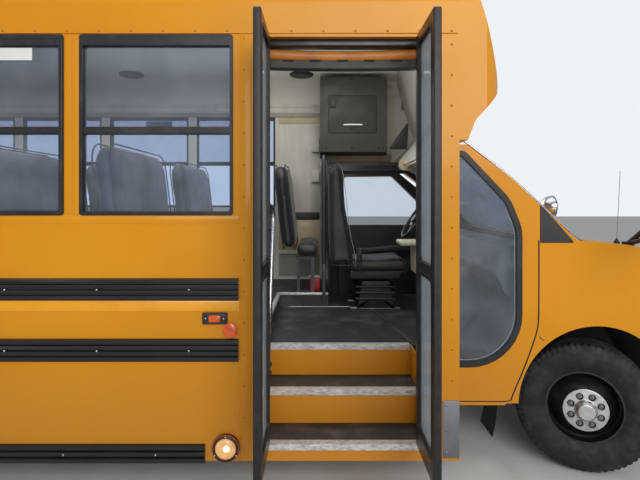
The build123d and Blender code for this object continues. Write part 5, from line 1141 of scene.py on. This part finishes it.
def door_seals():
    """Each entry leaf's rubber edge and foot seals, and the beads round its two panes."""
    middle = (DOOR_LOW_Z + DOOR_TOP_Z) / 2 - 0.13
    panes = ((DOOR_LOW_Z + 2 * LEAF_FRAME, middle - LEAF_FRAME / 2),
             (middle + LEAF_FRAME / 2, DOOR_TOP_Z - 0.006 - LEAF_FRAME))
    lap, proud = 0.006, 0.0025
    for direction, word in ((1, "rear"), (-1, "front")):
        near = (HINGE_REAR_X if direction > 0 else HINGE_FRONT_X) + direction * LEAF_START
        far = near + direction * LEAF_W
        low, high = sorted((far - direction * 0.024, far + direction * 0.0022))
        x0, x1 = min(near, far), max(near, far)
        shapes = [rounded_box((low, -BODY_Y - 0.0022, DOOR_LOW_Z + 0.002),
                              (high, -BODY_Y + LEAF_T + 0.0022, DOOR_TOP_Z - 0.008), 0.006),
                  rounded_box((x0 + 0.012, -BODY_Y + 0.004, DOOR_LOW_Z - 0.005),
                              (x1 - 0.012, -BODY_Y + LEAF_T - 0.004, DOOR_LOW_Z + 0.004), 0.004)]
        x0, x1 = x0 + LEAF_FRAME - lap, x1 - LEAF_FRAME + lap
        shapes += [rounded_ring(x0, x1, z0 - lap, z1 + lap, 0.046, 0.016, -BODY_Y - proud,
                                -BODY_Y + LEAF_T + proud) for z0, z1 in panes]
        shapes = [on_leaf(shape, direction) for shape in shapes]
        made(f"leaf_seals_{word}", shapes, "gasket_rubber", f"entry_leaf_{word}")


def door_header():
    """Over the doorway, inside: a black cover rail, a rolled yellow cover, and a grey bar with slots of
    painted shade.
    """
    x0, x1 = HINGE_REAR_X + 0.012, HINGE_FRONT_X - 0.012
    x = np.linspace(x0, x1, 40)
    sag = 0.012 * (1 - ((x - (x0 + x1) / 2) / ((x1 - x0) / 2)) ** 2)
    roll_path = np.stack([x, np.full_like(x, -1.118), 2.352 - sag], -1)
    bar_path = np.stack([x, np.full_like(x, -1.12), 2.298 - 0.5 * sag], -1)
    bar_loop = [(-0.03, -0.022), (0.03, -0.022), (0.034, -0.012), (0.03, 0.022), (-0.03, 0.022)]
    made("header_roll", swept(circle(0.034, 20), roll_path, TO_LEFT, UP), "roll_cover", smooth=60)
    rail = rounded_box((x0 - 0.02, -1.176, 2.385), (x1 + 0.02, -1.10, 2.425), 0.006)
    made("header_rail", rail, "black_paint", bevel=0.002)
    made("header_bar", swept(bar_loop, bar_path, TO_LEFT, UP), "cabinet_grey", bevel=0.003)
    # The bar's slots: near-black boxes on its face, as painted shade
    slots = [rounded_box((at, -1.153, 2.308), (at + 0.06, -1.146, 2.318), 0.003)
             for at in np.linspace(x0 + 0.08, x1 - 0.14, 5)]
    made("header_slots", slots, "dark_hollow")


# Cab outside

def tall_glass_gasket():
    """The wide black band round the cab's tall fixed glass: its outline carried inwards."""
    outer = rounded_line(TALL_GLASS, TALL_GLASS_R)
    section = ((0, -0.0008), (0, -0.0045), (0.004, -0.0055), (GLASS_BAND - 0.004, -0.0045),
               (GLASS_BAND, 0.004), (GLASS_BAND, 0.0150), (0, 0.0150))
    rows = np.stack([to_side(inset_line(outer, inset), -CAB_Y + y) for inset, y in section])
    made("tall_glass_band", patch(rows, wrap_rows=True, wrap_columns=True), "gasket_rubber", smooth=50)


def rounded_line(corners, radii, count=10):
    """A closed outline with each corner replaced by an arc tangent to its two sides."""
    corners = np.asarray(corners, float)
    radii = np.asarray(radii, float)
    before, after = unit(np.roll(corners, 1, 0) - corners), unit(np.roll(corners, -1, 0) - corners)
    half = np.arccos(np.clip((before * after).sum(1), -1, 1)) / 2
    centre = corners + unit(before + after) * (radii / np.sin(half))[:, None]
    start = corners + before * (radii / np.tan(half))[:, None] - centre
    end = corners + after * (radii / np.tan(half))[:, None] - centre
    first, last = np.arctan2(start[:, 1], start[:, 0]), np.arctan2(end[:, 1], end[:, 0])
    sweep = (last - first + np.pi) % (2 * np.pi) - np.pi
    angle = first[:, None] + sweep[:, None] * np.linspace(0, 1, count)[None]
    arcs = centre[:, None] + radii[:, None, None] * np.stack([np.cos(angle), np.sin(angle)], -1)
    return arcs.reshape(-1, 2)


def oblong(x0, x1, z0, z1, radii):
    """The closed outline of a rectangle with rounded corners."""
    return rounded_line(((x0, z0), (x1, z0), (x1, z1), (x0, z1)), radii)


def inset_line(line, amount):
    """A closed outline moved inwards: each point goes along the mean of its neighbours' normals."""
    tangent = unit(np.roll(line, -1, 0) - np.roll(line, 1, 0))
    area = np.sum(line[:, 0] * np.roll(line[:, 1], -1) - np.roll(line[:, 0], -1) * line[:, 1])
    normal = np.stack([-tangent[:, 1], tangent[:, 0]], -1) * np.sign(area)
    return line + normal * amount


def to_side(line, y):
    """A 2-D line in (x, z) set upright at y."""
    return np.stack([line[:, 0], np.full(len(line), y), line[:, 1]], -1)


def plate(line, y0, y1, edge=0.002):
    """A flat plate with softened edges from a closed outline: edge and face lines, closed to the middle."""
    near, far = [np.repeat(to_side(line, y).mean(0, keepdims=True), len(line), 0) for y in (y0, y1)]
    rows = np.stack([near, to_side(inset_line(line, edge), y0), to_side(line, y0 + np.sign(y1 - y0) * edge),
                     to_side(line, y1), far])
    return patch(rows, wrap_columns=True)


def sail_panels():
    """The dark corner panel ahead of the side glass, on both sides."""
    shape = plate(rounded_line(SAIL_PANEL, (0.006, 0.006, 0.006), 5), -CAB_Y - 0.0035, -CAB_Y + SINK)
    for side, word in SIDES:
        made(f"sail_panel_{word}", on_side(shape, side), "black_plastic")


def screen_moulding():
    """Bright moulding along both windscreen pillars, following their outer line."""
    path = to_side(smooth_path(PILLAR_LINE, 14), -CAB_Y + 0.012)
    path[:, 2] += 0.0035
    made("screen_moulding", both(tube(path, 0.007, TO_LEFT, 10)), "bright_steel", smooth=60)


def cab_seams():
    """Painted shade of the gaps in the right skin: thin near-black tubes along each line, pressed flat
    against it.
    """
    shapes = []
    for width, line in SEAM_LINES:
        shape = tube(to_side(smooth_path(line, 10), -CAB_Y - 0.0003), width, TO_LEFT, 8)
        shape[0][:, 1] = (shape[0][:, 1] + CAB_Y) * 0.25 - CAB_Y
        shapes.append(shape)
    # The gaps' near-black is painted shade
    made("cab_seams", shapes, "dark_hollow", smooth=60)


def aerial():
    """The whip aerial on the right fender, with its black base."""
    base = np.array(AERIAL_BASE)
    foot = lathe(AERIAL_FOOT, base, UP, 20)
    path = base + np.array([0.02, 0.0, 0.41]) * np.linspace(0.04, 1, 12)[:, None]
    tip = lathe([(0, 0.004), (0.0035, 0.0), (0, -0.004)], path[-1], UP, 10)
    made("aerial", [tube(path, 0.0017, TO_LEFT, 8), tip], "dull_steel", smooth=60)
    made("aerial_foot", foot, "black_plastic", smooth=50)


def mud_flaps():
    """Ribbed rubber flaps behind the front wheels, bent at the foot: x = x0 - bend + rib * cos(k * y)."""
    top, foot = FLAP_ZS
    z, y = np.meshgrid(np.linspace(top, foot, 14), np.linspace(*FLAP_YS, 12), indexing="ij")
    bend = 0.03 * ((top - z) / (top - foot)) ** 2
    flap = patch(np.stack([FLAP_X - bend + 0.002 * np.cos(y * 180), y, z], -1))
    for side, word in SIDES:
        made(f"mud_flap_{word}", on_side(flap, side), "gasket_rubber", wall=0.006)


# Inside

def slab(line, low, high, edge, place):
    """A slab on a closed outline: rows of the outline inset on quarter circles of the edge's radius.

    Both faces are closed to the outline's middle; place sets (outline, depth) in space.
    """
    turn = np.linspace(0, np.pi / 2, 4)
    insets = PAD_SHRINK + edge * (1 - np.sin(turn))
    depths = edge * (1 - np.cos(turn))
    near = [place(inset_line(line, inset), low + PAD_SHRINK + depth) for inset, depth in zip(insets, depths)]
    far = [place(inset_line(line, inset), high - PAD_SHRINK - depth) for inset, depth in zip(insets, depths)]
    return capped(np.stack(near + far[::-1]))


def from_front(line, depth):
    """An outline in (y, z) set across the bus at x = depth."""
    return np.stack([np.full(len(line), depth), line[:, 0], line[:, 1]], -1)


def leaned(shape, z0, height, lean):
    """A shape pushed back in proportion to its height above z0."""
    points, quads = shape
    return points - np.array([lean, 0, 0]) * ((points[:, 2:] - z0) / height), quads


def mesh_points(mesh):
    """A mesh's points as one array."""
    points = np.empty(len(mesh.vertices) * 3)
    mesh.vertices.foreach_get("co", points)
    return points.reshape(-1, 3)


def swollen(shape, voxel):
    """A shell blown up as cloth: even voxels, then frames of inner pressure without gravity.

    The way that each point goes is held to PAD_CAP.
    """
    points, quads = shape
    mesh = bpy.data.meshes.new("pad_blank")
    mesh.from_pydata(points.tolist(), [], quads.tolist())
    work = bmesh.new()
    work.from_mesh(mesh)
    bmesh.ops.remove_doubles(work, verts=work.verts, dist=1e-5)
    bmesh.ops.recalc_face_normals(work, faces=work.faces)
    work.to_mesh(mesh)
    work.free()
    blank = bpy.data.objects.new("pad_blank", mesh)
    scene = bpy.context.scene
    scene.collection.objects.link(blank)
    voxels = blank.modifiers.new("voxels", "REMESH")
    voxels.mode = "VOXEL"
    voxels.voxel_size = voxel
    skin = bpy.data.meshes.new_from_object(blank.evaluated_get(bpy.context.evaluated_depsgraph_get()))
    blank.modifiers.clear()
    blank.data = skin
    start = mesh_points(skin)
    faces = np.empty(len(skin.loops), int)
    skin.loops.foreach_get("vertex_index", faces)
    move = np.zeros_like(start)
    cloth = blank.modifiers.new("cloth", "CLOTH")
    cloth.settings.use_pressure = True
    cloth.settings.uniform_pressure_force = PAD_PRESSURE
    cloth.settings.effector_weights.gravity = 0.0
    for step in range(1, PAD_FRAMES + 1):
        scene.frame_set(step)
    shown = blank.evaluated_get(bpy.context.evaluated_depsgraph_get())
    move = mesh_points(shown.data) - start
    length = np.linalg.norm(move, axis=1, keepdims=True)
    move = move * np.minimum(1, PAD_CAP / np.maximum(length, 1e-9))
    scene.frame_set(1)
    bpy.data.objects.remove(blank)
    return start + move, faces.reshape(-1, 4)


def pad(name, shapes, finish, node):
    """A padded piece with one subdivision, standing for a CAD node."""
    piece = made(name, shapes, finish, smooth=70)
    smooth = piece.modifiers.new("smooth", "SUBSURF")
    smooth.levels = 1
    smooth.render_levels = 1
    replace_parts(piece, node)
    return piece


def bench_shapes(front, depth, ys):
    """A right-hand bench's blown-up cushion and back, and the piping round the back's two faces."""
    low_y, high_y = -ys[1], -ys[0]
    side = oblong(front - depth, front, *SEAT_Z, (0.04,) * 4)
    cushion = swollen(slab(side, low_y, high_y, 0.03, to_side), BENCH_VOXEL)
    face = oblong(low_y, high_y, *BACK_Z, (0.03, 0.03, 0.13, 0.13))
    rear = front - depth - BACK_T
    lean = (BACK_Z[0], BACK_Z[1] - BACK_Z[0], BACK_LEAN)
    back = swollen(leaned(slab(face, rear, rear + BACK_T, 0.045, from_front), *lean), BENCH_VOXEL)
    piping = []
    for x in (rear + SEAM_IN, rear + BACK_T - SEAM_IN):
        path = from_front(inset_line(face, SEAM_IN), x)
        piping.append(leaned(bead(path, from_front(face, x) - path, (1, 0, 0), PIPING_R), *lean))
    return cushion, back, piping


def benches():
    """Every bench: one is blown up and copied to each row and side; a shallow one is behind the partition."""
    cushion, back, piping = bench_shapes(SEAT_FRONT_X, SEAT_DEPTH, SEAT_YS)
    rows = np.zeros((SEAT_ROWS, 3))
    rows[:, 0] = -SEAT_PITCH * np.arange(SEAT_ROWS)
    welts = []
    for side, word in SIDES:
        pad(f"bench_cushions_{word}", on_side(moved(cushion, rows), side), "seat_vinyl", "seat_cushions")
        pad(f"bench_backs_{word}", on_side(moved(back, rows), side), "seat_vinyl", "seat_cushions")
        welts += [on_side(moved(line, rows), side) for line in piping]
    cushion, back, piping = bench_shapes(FIRST_SEAT_X, FIRST_SEAT_DEPTH, FIRST_YS)
    pad("first_bench", [mirrored(cushion), mirrored(back)], "driver_vinyl", "seat_cushions")
    made("bench_piping", welts + [mirrored(line) for line in piping], "pad_piping", smooth=60)


def flat_band(path, width, thick=0.0022):
    """A flat webbing band along a path: its section is thin across the path and wide along Y."""
    x, y = thick / 2, width / 2
    across = np.cross(unit(np.gradient(path, axis=0)), TO_LEFT)
    return swept([(-x, -y), (x, -y), (x, y), (-x, y)], path, across, TO_LEFT)


def driver_seat():
    """The driver's seat: blown-up cushion and back, piping, belt, shroud, pedestal, bellows and rails."""
    low_y, high_y = DRIVER_YS
    seat, back = rounded_line(DRIVER_CUSHION, DRIVER_CUSHION_R), rounded_line(DRIVER_BACK, DRIVER_BACK_R)
    soft = [swollen(slab(line, low_y + inset, high_y - inset, DRIVER_PAD_EDGE, to_side), DRIVER_VOXEL)
            for line, inset in ((seat, 0.0), (back, 0.012))]
    pad("driver_seat_pads", soft, "driver_vinyl", "driver_seat")
    lines = []
    for line in (seat, back):
        for y in (low_y + 0.03, high_y - 0.03):
            path = to_side(inset_line(line, 0.004), y)
            lines.append(bead(path, to_side(line, y) - path, TO_LEFT, PIPING_R))
    made("driver_seat_piping", lines, "pad_piping", smooth=60)
    belt = smooth_path(np.array(BELT_PATH) + (0, low_y, 0), 12)
    made("driver_belt", flat_band(belt, BELT_W), "belt_webbing", smooth=60)
    buckle = rounded_box((1.275, low_y - 0.002, 1.06), (1.315, low_y + 0.020, 1.17), 0.008)
    stalk = rounded_box((1.288, low_y + 0.003, 0.98), (1.302, low_y + 0.012, 1.07), 0.003)
    made("driver_belt_buckle", [buckle, stalk], "black_plastic")
    rows = ((SHROUD, SHROUD_R, 0.02, 0.01), (PEDESTAL, PEDESTAL_R, 0.06, 0.012))
    hard = [slab(rounded_line(line, radii), low_y + inset, high_y - inset, edge, to_side)
            for line, radii, inset, edge in rows]
    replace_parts(made("driver_seat_base", hard, "black_plastic"), "driver_seat")
    folds = [rounded_box((1.262, low_y + 0.055, z), (1.598, high_y - 0.055, z + 0.022), 0.010)
             for z in BELLOWS_ZS]
    made("driver_seat_bellows", folds, "gasket_rubber", smooth=60)
    rails = [rounded_box((1.22, y - 0.02, 0.650), (1.64, y + 0.02, 0.668), 0.004)
             for y in (low_y + 0.10, high_y - 0.10)]
    made("driver_seat_rails", rails, "dull_steel")


def partition_pads():
    """The partition behind the driver: a padded panel in a steel frame on two legs."""
    face = oblong(*PARTITION_PAD, PARTITION_R)
    panel = swollen(slab(face, 0.977, 1.031, 0.018, from_front), DRIVER_VOXEL * 1.6)
    pad("partition_pad", panel, "driver_vinyl", "partition")
    outer = oblong(*PARTITION_FRAME, PARTITION_R)
    path = from_front(inset_line(outer, PARTITION_BAR_R), PARTITION_X)
    frame_bar = bead(path, from_front(outer, PARTITION_X) - path, (1, 0, 0), PARTITION_BAR_R, 10)
    legs = [rounded_box((0.990, 0.408, LANDING_Z + 0.006), (1.018, 0.432, 1.01), 0.006),
            rounded_box((0.990, 1.038, FLOOR_Z + 0.006), (1.018, 1.062, 1.01), 0.006)]
    feet = [rounded_box((0.978, 0.402, LANDING_Z), (1.030, 0.450, LANDING_Z + 0.008), 0.002),
            rounded_box((0.972, 1.020, FLOOR_Z), (1.036, 1.080, FLOOR_Z + 0.008), 0.002)]
    made("partition_frame", [frame_bar] + legs + feet, "seat_steel", smooth=50)


def cabinet_trim():
    """The cabinet's hatch with the painted shade of its gap, pull bar, lock and latch, six near-black screws,
    and the panel under it.
    """
    x0, x1, z0, z1 = HATCH
    made("cabinet_hatch", rounded_box((x0, CABINET_Y - 0.004, z0), (x1, CABINET_Y + SINK, z1), 0.0018),
         "cabinet_grey")
    # The hatch's gap: a near-black ring, as painted shade
    gap = rounded_ring(x0 - 0.005, x1 + 0.005, z0 - 0.005, z1 + 0.005, 0.012, 0.0052, CABINET_Y - 0.0012,
                       CABINET_Y + SINK)
    lock = lathe([(0, 0.013), (0.010, 0.012), (0.0135, 0.008), (0.0135, 0.0), (0, 0.0)],
                 (1.271, CABINET_Y - 0.003, 2.236), TO_RIGHT, 20)
    latch = rounded_box((1.064, CABINET_Y - 0.017, 2.430), (1.118, CABINET_Y - 0.003, 2.500), 0.005)
    places = [(x, CABINET_Y, z) for z in (2.050, 2.700) for x in (1.030, 1.271, 1.520)]
    made("cabinet_gap", [gap, moved(dome(0.0085, 0.005, TO_RIGHT), places)], "dark_hollow")
    made("cabinet_lock", [lock, latch], "black_plastic")
    bar = [(x, CABINET_Y - out, 2.267) for x, out in ((1.196, 0.004), (1.198, 0.022), (1.281, 0.024),
                                                      (1.364, 0.022), (1.366, 0.004))]
    made("cabinet_pull", tube(smooth_path(bar, 10), 0.0075, UP, 10), "white_plate", smooth=60)
    under = [(0.86, 2.008), (0.955, 1.925), (0.965, 1.932), (0.872, 2.018)]
    shape = swept(under, [(1.04, 0, 0), (1.66, 0, 0)], TO_LEFT, UP)
    made("cabinet_under_panel", shape, "wall_grey", bevel=0.003)
    made("door_header_trim", rounded_box((1.13, 0.926, 1.815), (1.82, 0.938, 1.925), 0.005), "black_plastic")


def wall_strips():
    """Long mouldings along both inner walls under the ceiling, and the left wall's panels and ledges.

    Each row: X limits, Z limits, how proud it stands, its finish, and 1 for the left wall, -1 for the right.
    """
    rear, low, high = BODY_REAR_X + 0.06, WINDOW_FRONT_X + 0.035, 0.966
    rows = []
    for z0, z1, proud, finish in ((2.402, 2.446, 0.010, "wall_grey"), (2.455, 2.500, 0.006, "lining_panel"),
                                  (2.505, 2.538, 0.006, "lining_panel")):
        rows += [(rear, high, z0, z1, proud, finish, 1), (rear, 0.58, z0, z1, proud, finish, -1)]
    for z0, z1, proud, finish in (
            (1.437, 2.325, 0.004, "lining_panel"), (1.358, 1.435, 0.008, "black_plastic"),
            (1.050, 1.356, 0.005, "wall_tan"), (1.012, 1.042, 0.020, "lining_panel"),
            (0.784, 1.010, 0.005, "wall_grey"), (2.336, 2.397, 0.006, "wall_tan")):
        rows.append((low, high, z0, z1, proud, finish, 1))
    rows += [(0.888, 0.962, z0, z1, 0.045, "lining_panel", 1) for z0, z1 in ((2.045, 2.200), (1.745, 1.866))]
    for name in ("wall_grey", "wall_tan", "black_plastic", "lining_panel"):
        shapes = [on_side(rounded_box((x0, INNER_Y - proud, z0), (x1, INNER_Y + SINK, z1), 0.003), -side)
                  for x0, x1, z0, z1, proud, finish, side in rows if finish == name]
        made(f"wall_strips_{name}", shapes, name)


def ceiling_speakers():
    """Round black speakers let into the ceiling."""
    spots = ((0.793, 0.87), (-0.83, 0.87), (-0.83, -0.87), (-2.4, 0.87), (-2.4, -0.87))
    places = [(x, y, 2.764) for x, y in spots]
    dish = lathe([(0, 0.020), (0.05, 0.022), (0.09, 0.024), (0.112, 0.014), (0.116, 0.0), (0.112, -0.012),
                  (0, -0.012)], (0, 0, 0), (0, 0, -1), 40)
    made("ceiling_speakers", moved(dish, places), "black_plastic", smooth=50)


def platform_pieces():
    """On the raised floor behind the driver: a red case with lid and handle, and the bright edge strip."""
    made("red_case", rounded_box((0.875, 0.53, FLOOR_Z), (0.972, 0.65, FLOOR_Z + 0.115), 0.012), "box_red")
    lid = rounded_box((0.872, 0.527, FLOOR_Z + 0.113), (0.975, 0.653, FLOOR_Z + 0.140), 0.010)
    made("red_case_lid", lid, "wall_grey")
    bend = ((0.890, 0.138), (0.893, 0.158), (0.9235, 0.165), (0.954, 0.158), (0.957, 0.138))
    handle = [(x, 0.59, FLOOR_Z + z) for x, z in bend]
    made("red_case_handle", tube(smooth_path(handle, 8), 0.005, TO_LEFT, 8), "black_plastic", smooth=60)
    strip = rounded_box((0.612, 0.434, FLOOR_Z - 0.016), (1.040, 0.462, FLOOR_Z + 0.004), 0.003)
    made("platform_edge", strip, "nosing_metal")


def landing_mat():
    """The pipped rubber mat on the landing, thin and soft-edged."""
    line = rounded_line(((0.665, -0.655), (1.548, -0.655), (1.376, 0.374), (1.032, 0.374), (0.70, 0.374)),
                        (0.01, 0.02, 0.03, 0.03, 0.01))

    def level(points, rise):
        return np.column_stack([points, np.full(len(points), LANDING_Z + rise)])

    top, foot = [np.broadcast_to(level(line, rise).mean(0, keepdims=True), (len(line), 3))
                 for rise in (0.005, 0)]
    rows = np.stack([top, level(inset_line(line, 0.004), 0.005), level(line, 0.003), level(line, 0), foot])
    made("landing_mat", patch(rows, wrap_columns=True), "mat_rubber")


def rail_clamps():
    """Black clamps that hold the grab rail's foot to the step wall."""
    rings = [lathe([(0.0165, -0.012), (0.024, -0.011), (0.025, 0.0), (0.024, 0.011), (0.0165, 0.012),
                    (0.0165, -0.012)], (0.672, -1.035 + rise * 0.405, z), (0, 0.36, 0.93), 24)
             for rise, z in ((0.03, 0.590), (0.075, 0.632))]
    made("rail_clamps", rings, "black_plastic", smooth=50)


def cab_details():
    """Sun visor, speaker grille, dash tray, pillar trim, and the driver's door seal and armrest."""
    visor = rounded_line(((1.66, 1.83), (1.86, 1.80), (1.88, 1.90), (1.69, 1.955)), (0.05, 0.04, 0.04, 0.05))
    made("sun_visor", slab(visor, 0.60, 0.64, 0.006, to_side), "wall_tan", smooth=60)
    grille = [rounded_box((1.80, 1.174, z), (1.90, 1.190, z + 0.012), 0.004)
              for z in np.linspace(2.48, 2.70, 12)]
    made("cab_speaker_grille", grille, "grey_plastic")
    tray = [rounded_box((1.725, 0.06, 0.975), (1.778, 0.30, 1.235), 0.012),
            rounded_box((1.605, 0.06, 1.200), (1.776, 0.30, 1.236), 0.012)]
    made("dash_tray", tray, "cream_plastic")
    trim = rounded_line(((1.60, 2.03), (1.80, 2.03), (1.815, 2.34)), (0.02, 0.02, 0.02))
    made("pillar_trim", slab(trim, 0.80, 0.82, 0.006, to_side), "black_plastic")
    made("door_gap_seal", rounded_box((1.082, 0.926, 0.42), (1.150, 0.938, 1.86), 0.005), "gasket_rubber")
    arm = rounded_line(((1.30, 1.02), (1.86, 1.06), (1.90, 1.12), (1.84, 1.155), (1.30, 1.10)),
                       (0.02, 0.02, 0.02, 0.03, 0.02))
    made("driver_door_armrest", slab(arm, 0.885, 0.950, 0.015, to_side), "black_plastic", "driver_door",
         smooth=60)


def wheel_nuts():
    """Hexagon nuts with their studs in each front hub cap's holes, and round each rear wheel's middle."""
    nut = lathe(NUT_SECTION, (0, 0, 0), TO_RIGHT, 6)
    turn = np.radians(NUT_FIRST + np.arange(NUT_COUNT) * 360 / NUT_COUNT)
    ring = NUT_CIRCLE_R * np.stack([np.cos(turn), np.zeros(NUT_COUNT), np.sin(turn)], -1)
    front = moved(nut, ring + np.array([0, -FRONT_TRACK_HALF - NUT_FRONT_OUT, AXLE_Z]))
    rear = moved(nut, ring + np.array([0, -TWIN_YS[1] + NUT_REAR_IN, AXLE_Z]))
    for side, word in SIDES:
        on_front, on_rears = placed_front(on_side(front, side), side), placed_rear(on_side(rear, side))
        made(f"nuts_front_{word}", on_front, "dull_steel", f"front_wheel_{word}")
        made(f"nuts_rear_{word}", on_rears, "dull_steel", f"rear_wheels_{word}")


def on_rear(shape):
    """A shape drawn in X and Z, with Y into the bus, stood on the rear wall: X becomes Y, and Y becomes X."""
    points, quads = shape
    return np.stack([BODY_REAR_X + points[:, 1], points[:, 0], points[:, 2]], -1), quads


def rear_trim():
    """Rubber round the rear panes, and round rims about the warning lamps."""
    low_y, high_y, low_z, high_z = REAR_WINDOW
    lap = 0.014
    wall = [on_rear(rounded_ring(y0 - lap, y1 + lap, low_z - lap, high_z + lap, 0.070, 0.028, -0.007, 0.004))
            for y0, y1 in ((low_y, high_y), (-high_y, -low_y))]
    made("rear_window_rubber", wall, "gasket_rubber", smooth=50)
    lap = 0.012
    half = REAR_PANE_HALF + lap
    door = [on_rear(rounded_ring(-half, half, z0 - lap, z1 + lap, 0.060, 0.024, -0.006, 0.004))
            for z0, z1 in REAR_PANES]
    made("rear_door_rubber", door, "gasket_rubber", "rear_door", smooth=50)
    t = np.linspace(0, 2 * np.pi, 13)
    profile = np.stack([LAMP_RIM + 0.008 * np.cos(t), 0.008 * np.sin(t)], -1)
    rims = [lathe(profile, (BODY_REAR_X - 0.006, y, REAR_LAMP_Z), (-1, 0, 0), 40) for y in LAMP_YS]
    made("rear_lamp_rims", rims, "black_plastic", smooth=60)


def wipers():
    """Two wiper arms resting along the foot of the screen, each a flat blade on a slim arm."""
    arms, blades = [], []
    for pivot_y, tip_y in ((-0.62, -0.05), (0.12, 0.70)):
        pivot, tip = np.array((2.452, pivot_y, 1.352)), np.array((2.400, tip_y, 1.404))
        arm = [pivot, (pivot + tip) / 2 + (0.012, 0, 0.012), tip]
        blade = [tip + (-0.002, -0.24, -0.004), tip + (0.004, 0, 0.004), tip + (-0.002, 0.10, -0.004)]
        for shapes, path in ((arms, arm), (blades, blade)):
            shapes.append(tube(smooth_path(path, 12), 0.008, UP, 8))
    made("wiper_arms", arms + blades, "black_plastic", smooth=60)


def mirror_glasses():
    """Flat glass on each rear-view mirror's face, a bright skin on each cross-view dome: R (sin t, cos t)."""
    panes, skins = [], []
    x, z, inner_y, outer_y, rim = MIRROR_FACE
    centre_x, centre_y, centre_z, radius = CROSS_DOME
    t = np.linspace(0, radians(84), 14)
    profile = np.concatenate([(radius + 0.0012) * np.stack([np.sin(t), np.cos(t)], -1),
                              (radius - 0.004) * np.stack([np.sin(t[::-1]), np.cos(t[::-1])], -1)])
    for side, _ in SIDES:
        y0, y1 = sorted((side * (inner_y + rim), side * (outer_y - rim)))
        for proud, z0, z1 in ((0.0025, z[0] + rim, z[0] + 0.30), (0.0035, z[0] + 0.315, z[1] - rim)):
            panes.append(rounded_box((x - proud, y0, z0), (x + 0.004, y1, z1), 0.002))
        skins.append(lathe(profile, (centre_x, side * centre_y, centre_z), (-1, 0, 0), 40))
    made("mirror_panes", panes, "mirror_glass")
    made("cross_mirror_skins", skins, "mirror_glass", smooth=60)


def arch_liners():
    """Dark inner fenders over the front wheels: a half turn of a flanged section about the arch's line."""
    angle = np.radians(np.linspace(-2, 182, 48))[:, None]
    section = np.array(LINER_SECTION)
    radius, inwards = section[None, :, 0], np.broadcast_to(section[:, 1], (len(angle), len(section)))
    shape = patch(np.stack([ARCH_AT[0] + radius * np.cos(angle), -inwards,
                            ARCH_AT[1] + radius * np.sin(angle)], -1))
    for side, word in SIDES:
        made(f"arch_liner_{word}", on_side(shape, side), "black_plastic", wall=0.004, smooth=50)


def glass_line():
    """The thin pale line inside the tall glass's band, along its front and foot."""
    line = inset_line(rounded_line(TALL_GLASS, TALL_GLASS_R), GLASS_BAND + 0.005)
    keep = (line[:, 0] > 2.02) | (line[:, 1] < 0.70)
    first = int(np.argmax(keep & ~np.roll(keep, 1)))
    run = np.roll(line, -first, 0)[:int(keep.sum())]
    made("glass_line", tube(to_side(run, -CAB_Y + 0.0125), 0.0016, TO_LEFT, 6), "cream_plastic", smooth=60)


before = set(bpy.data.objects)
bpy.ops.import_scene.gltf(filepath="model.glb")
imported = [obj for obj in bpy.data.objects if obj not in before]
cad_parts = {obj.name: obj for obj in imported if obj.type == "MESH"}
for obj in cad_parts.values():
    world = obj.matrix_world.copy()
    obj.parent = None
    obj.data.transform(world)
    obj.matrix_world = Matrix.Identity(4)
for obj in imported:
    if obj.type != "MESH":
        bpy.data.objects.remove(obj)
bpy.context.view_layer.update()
bpy.context.scene.view_settings.view_transform = "Standard"
place_camera()
place_world()
place_lights()
place_floor()
finishes()


def dress_nodes():
    """Each CAD node gets its finish."""
    for finish, names in WORN_BY.items():
        for name in names.split():
            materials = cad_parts[name].data.materials
            materials.clear()
            materials.append(FINISH[finish])


dress_nodes()

body_rivets()
panel_trim()
reflective_strips()
rail_screws()
window_gaskets()
exit_window_frame()
side_markers()
splash_plates()
tyres()
step_nosings()
step_trim()
door_seals()
door_header()
tall_glass_gasket()
sail_panels()
screen_moulding()
cab_seams()
aerial()
mud_flaps()
glass_line()
rear_trim()
wipers()
mirror_glasses()
arch_liners()
wheel_nuts()
benches()
driver_seat()
partition_pads()
cabinet_trim()
wall_strips()
ceiling_speakers()
platform_pieces()
landing_mat()
rail_clamps()
cab_details()
